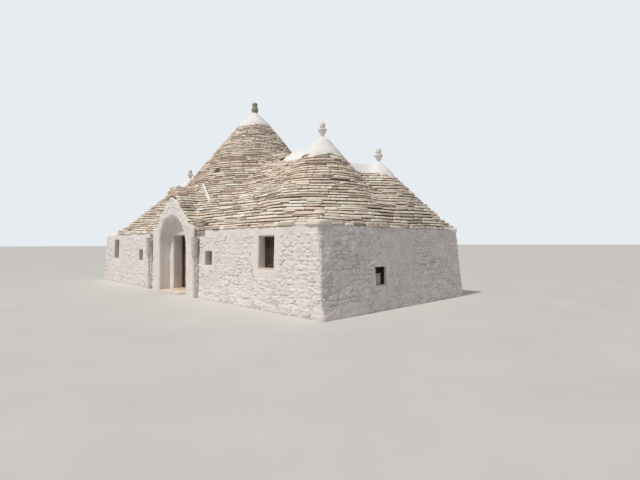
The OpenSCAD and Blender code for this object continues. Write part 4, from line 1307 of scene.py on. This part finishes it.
for side, tag in SIDES:
    # small window: a weathered board set back in the opening, in two lengths
    x = ROW_X + side * SMALL_X
    x0, x1, z0, z1 = x - SMALL_W / 2, x + SMALL_W / 2, WIN_Z, WIN_Z + SMALL_W
    zm, front, mid, back = z0 + 0.47 * SMALL_W, WIN_Y + 0.002, WIN_Y + 0.020, WIN_Y + 0.045
    parts = [bar(x0, x1, mid, back, zm, z1, 0.003), bar(x0, x1, front, back, z0, zm - 0.003, 0.006),
             bar(x0, x0 + 0.035, front, mid, zm, z1, 0.003),
             bar(x1 - 0.035, x1, front, mid, zm, z1, 0.003)]
    ob = joined("shutter_board_" + tag, parts, M_GREYWOOD, "dark_wood")
    if side > 0:
        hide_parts("small_window_frames", "small_window_glass")

# worn sills, two stones each
r_ = np.random.default_rng(33)
SILL_Y = -HALF_D + 0.022
ob = stones("sill_slabs", [
    stone(r_, (ROW_X + side * WIN_X + (k - 0.5) * WIN_W * 0.47, (SILL_Y + WIN_Y) / 2, WIN_Z + 0.012),
          (WIN_W * 0.49, WIN_Y + HALF_D - 0.022, 0.036), (0.84, 0.76, 0.66), (0.94, 1.05),
          square=10, rough=0.02)
    for side in (-1, 1) for k in range(2)])
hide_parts("window_sills")

# worn step in front of the niche, and the sill of the doorway
STEP_X = (PX - 0.70, PX - 0.30, PX + 0.14, PX + 0.62)
items = [
    stone(r_, ((x0 + x1) / 2, (y0 + y1) / 2, 0.030), (x1 - x0 - 0.008, y1 - y0 - 0.006, 0.074),
          (0.93, 0.84, 0.74), (0.92, 1.05), square=9, rough=0.025)
    for k, (x0, x1) in enumerate(zip(STEP_X, STEP_X[1:]))
    for y0, y1 in ((FRONT_Y - 0.09, -2.98 + 0.03 * k), (-2.975 + 0.03 * k, NICHE_Y + 0.005))]
items += [
    stone(r_, (DOOR_X + (k - 0.5) * 0.525, (NICHE_Y - ROOM_Y) / 2, 0.046),
          (0.52, -ROOM_Y - NICHE_Y, 0.072), (0.72, 0.60, 0.47), (0.95, 1.05), square=12, rough=0.012)
    for k in range(2)]
ob = stones("step_slabs", items, "clay_stone", floor=0.0)
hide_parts("threshold")

# meter niche: lining painted near black as shade, tan cabinet with lid, light bar and round dial
y0, y1, z0, z1 = METER
xb, xf = HALF_L - 0.33, HALF_L - 0.33 + 0.16   # back of the niche, front of the cabinet
joined("niche_shade_lining", [
    bar(xb, xb + 0.006, y0, y1, z0, z1, 0.001), bar(xb, xf + 0.02, y1 - 0.012, y1, z0, z1, 0.002),
    bar(xb, xf + 0.02, y0, y0 + 0.012, z0, z1, 0.002),
    bar(xb, xf + 0.02, y0, y1, z1 - 0.012, z1, 0.002)], M_NICHE_SHADE, "meter_casing")
ob = joined("meter_box", [
    bar(xb + 0.004, xf, y0 + 0.045, y0 + 0.315, z0, z0 + 0.27, 0.008),
    bar(xf, xf + 0.010, y0 + 0.060, y0 + 0.300, z0 + 0.02, z0 + 0.225),
    bar(xf, xf + 0.016, y0 + 0.170, y0 + 0.190, z0 + 0.10, z0 + 0.13, 0.003)], M_METER, "meter_casing")
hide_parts("meter_cabinet")
joined("meter_bar", [bar(xb + 0.01, xf + 0.006, y0 + 0.035, y0 + 0.330, z0 + 0.272, z0 + 0.292)],
       M_PALE, "meter_casing")
v, f = lathe(DIAL, (0, 0, 0), 77, 0.0004)
v = np.stack([xb + 0.05 + v[:, 2], y0 + 0.15 + v[:, 0], z0 + 0.355 + v[:, 1]], 1)
joined("meter_dial", [(v, f), bar(xb, xb + 0.052, y0 + 0.13, y0 + 0.17, z0 + 0.33, z0 + 0.38, 0.003)],
       M_PALE, "meter_casing", smooth_shade=True)


def kerb():
    """Uneven swelling of the plaster round the foot of the near corner."""
    lo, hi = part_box("wall_kerb")
    bend, step = 0.04, 0.015              # radius of the corner, distance of the stations
    # stations: x, y and the way out
    path = [(x, -HALF_D, 0.0, -1.0) for x in np.linspace(
        lo[0], HALF_L - bend, int((HALF_L - bend - lo[0]) / step))]
    for a in np.linspace(-90, 0, 7)[1:-1]:
        c, s = math.cos(math.radians(a)), math.sin(math.radians(a))
        path.append((HALF_L - bend + bend * c, -HALF_D + bend + bend * s, c, s))
    path += [(HALF_L, y, 1.0, 0.0) for y in np.linspace(
        -HALF_D + bend, hi[1] + 0.02, int((hi[1] + HALF_D) / step))]
    P = np.array(path)
    m, n = len(P), 26
    arc = run(P[:, :2])
    corner = HALF_L - lo[0]
    top = np.interp(arc, [0, 0.12, corner, corner + 0.25, corner + 0.45, corner + 0.9, corner + 1.35,
                          arc[-1]], [0.05, 0.14, 0.16, 0.19, 0.30, 0.34, 0.29, 0.17])
    top = top + 0.022 * vnoise(arc * 3.3, arc * 0 + 1, 95) + 0.010 * vnoise(arc * 9.0, arc * 0 + 2, 96)
    outw = np.interp(arc, [0, 0.15, corner, arc[-1] - 0.10, arc[-1]],
                     [0.004, 0.026, 0.030, 0.034, 0.006])
    T, up = np.meshgrid(top, np.linspace(0, 1, n), indexing="ij")
    A = np.repeat(arc[:, None], n, 1)
    Z = T * up
    lumps = cells((A + 0.05 * vnoise(A * 3, Z * 3, 97)) / 0.24, Z / 0.15, 98, 0.9, 0.8)
    prof = np.sqrt(np.clip(1 - up ** 5, 0, 1))
    out = (0.016 + outw[:, None] * (0.35 + 0.65 * prof) + 0.010 * fbm(A * 6, Z * 8, 99)
           + 0.016 * (0.5 - lumps[0]) * prof - 0.010 * joint(lumps, 0.14) * prof)
    out[:, -1] = -0.02
    V = np.stack([P[:, 0:1] + P[:, 2:3] * (out - lean(Z, END_BATTER)),
                  P[:, 1:2] + P[:, 3:4] * (out - lean(Z)), Z], -1)
    ob = new_obj("kerb_plaster", V, grid_faces(numbers(m, n)), M_WALL,
                 tone=tone_of(m * n, (0.965, 0.955, 0.94)))
    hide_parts("wall_kerb")


kerb()


# ---- stage, camera and light ----
def stage_floor():
    me = bpy.data.meshes.new("stage_floor")
    s = 400
    me.from_pydata([(-s, -s, 0), (s, -s, 0), (s, s, 0), (-s, s, 0)], [], [(0, 1, 2, 3)])
    me.materials.append(mat_even("stage_pale", 0.7, (0.3, 0.66, 0.645, 0.62), (0.7, 0.70, 0.685, 0.66),
                                 Roughness=0.9))
    ob = bpy.data.objects.new("stage_floor", me)
    bpy.context.scene.collection.objects.link(ob)


stage_floor()

cam_data = bpy.data.cameras.new("camera")
cam = bpy.data.objects.new("camera", cam_data)
bpy.context.scene.collection.objects.link(cam)
CAM_AT = Vector((13.55, -9.032, 1.65))
YAW, PITCH, ROLL = -0.8067, 0.0087, -0.0031
FOCAL_PX, PHOTO_W, SENSOR = 406.64, 640, 36
fwd = Vector((math.sin(YAW) * math.cos(PITCH), math.cos(YAW) * math.cos(PITCH), math.sin(PITCH)))
right = Vector((math.cos(YAW), -math.sin(YAW), 0))
up = right.cross(fwd)
cam_x = math.cos(ROLL) * right + math.sin(ROLL) * up
cam_y = -math.sin(ROLL) * right + math.cos(ROLL) * up
cam.matrix_world = Matrix([(*row,) for row in zip(cam_x, cam_y, -fwd, CAM_AT)] + [(0, 0, 0, 1)])
cam_data.sensor_width = SENSOR
cam_data.lens = FOCAL_PX / PHOTO_W * SENSOR
cam_data.clip_end = 900
bpy.context.scene.camera = cam


def sun(name, direction, angle, energy, color):
    d = bpy.data.lights.new(name, "SUN")
    d.angle = math.radians(angle)
    d.energy = energy
    d.color = color
    o = bpy.data.objects.new(name, d)
    bpy.context.scene.collection.objects.link(o)
    o.rotation_euler = Vector(direction).to_track_quat("-Z", "Y").to_euler()


# key high in front and a little from the left: the front is lit, the right wall lies in shade
sun("key", (0.12, 1.0, -1.42), 5.0, 2.10, (1.0, 0.955, 0.885))
# a weak raking light, so that the stones of the right wall show in the shade
sun("rake", (-0.30, 0.62, -1.0), 12.0, 0.50, (1.0, 0.97, 0.94))

# the sky: one colour for light, another behind the house
world = bpy.data.worlds.new("world")
bpy.context.scene.world = world
world.use_nodes = True
wn = world.node_tree
wn.nodes.clear()
mx = wn.nodes.new("ShaderNodeMixShader")
wn.links.new(wn.nodes.new("ShaderNodeLightPath").outputs["Is Camera Ray"], mx.inputs[0])
for k, colour, strength in ((1, (0.86, 0.885, 1.0, 1), 0.235), (2, (0.80, 0.84, 0.88, 1), 1.0)):
    bg = wn.nodes.new("ShaderNodeBackground")
    bg.inputs[0].default_value = colour
    bg.inputs[1].default_value = strength
    wn.links.new(bg.outputs[0], mx.inputs[k])
wn.links.new(mx.outputs[0], wn.nodes.new("ShaderNodeOutputWorld").inputs[0])

bpy.context.scene.view_settings.view_transform = "Standard"
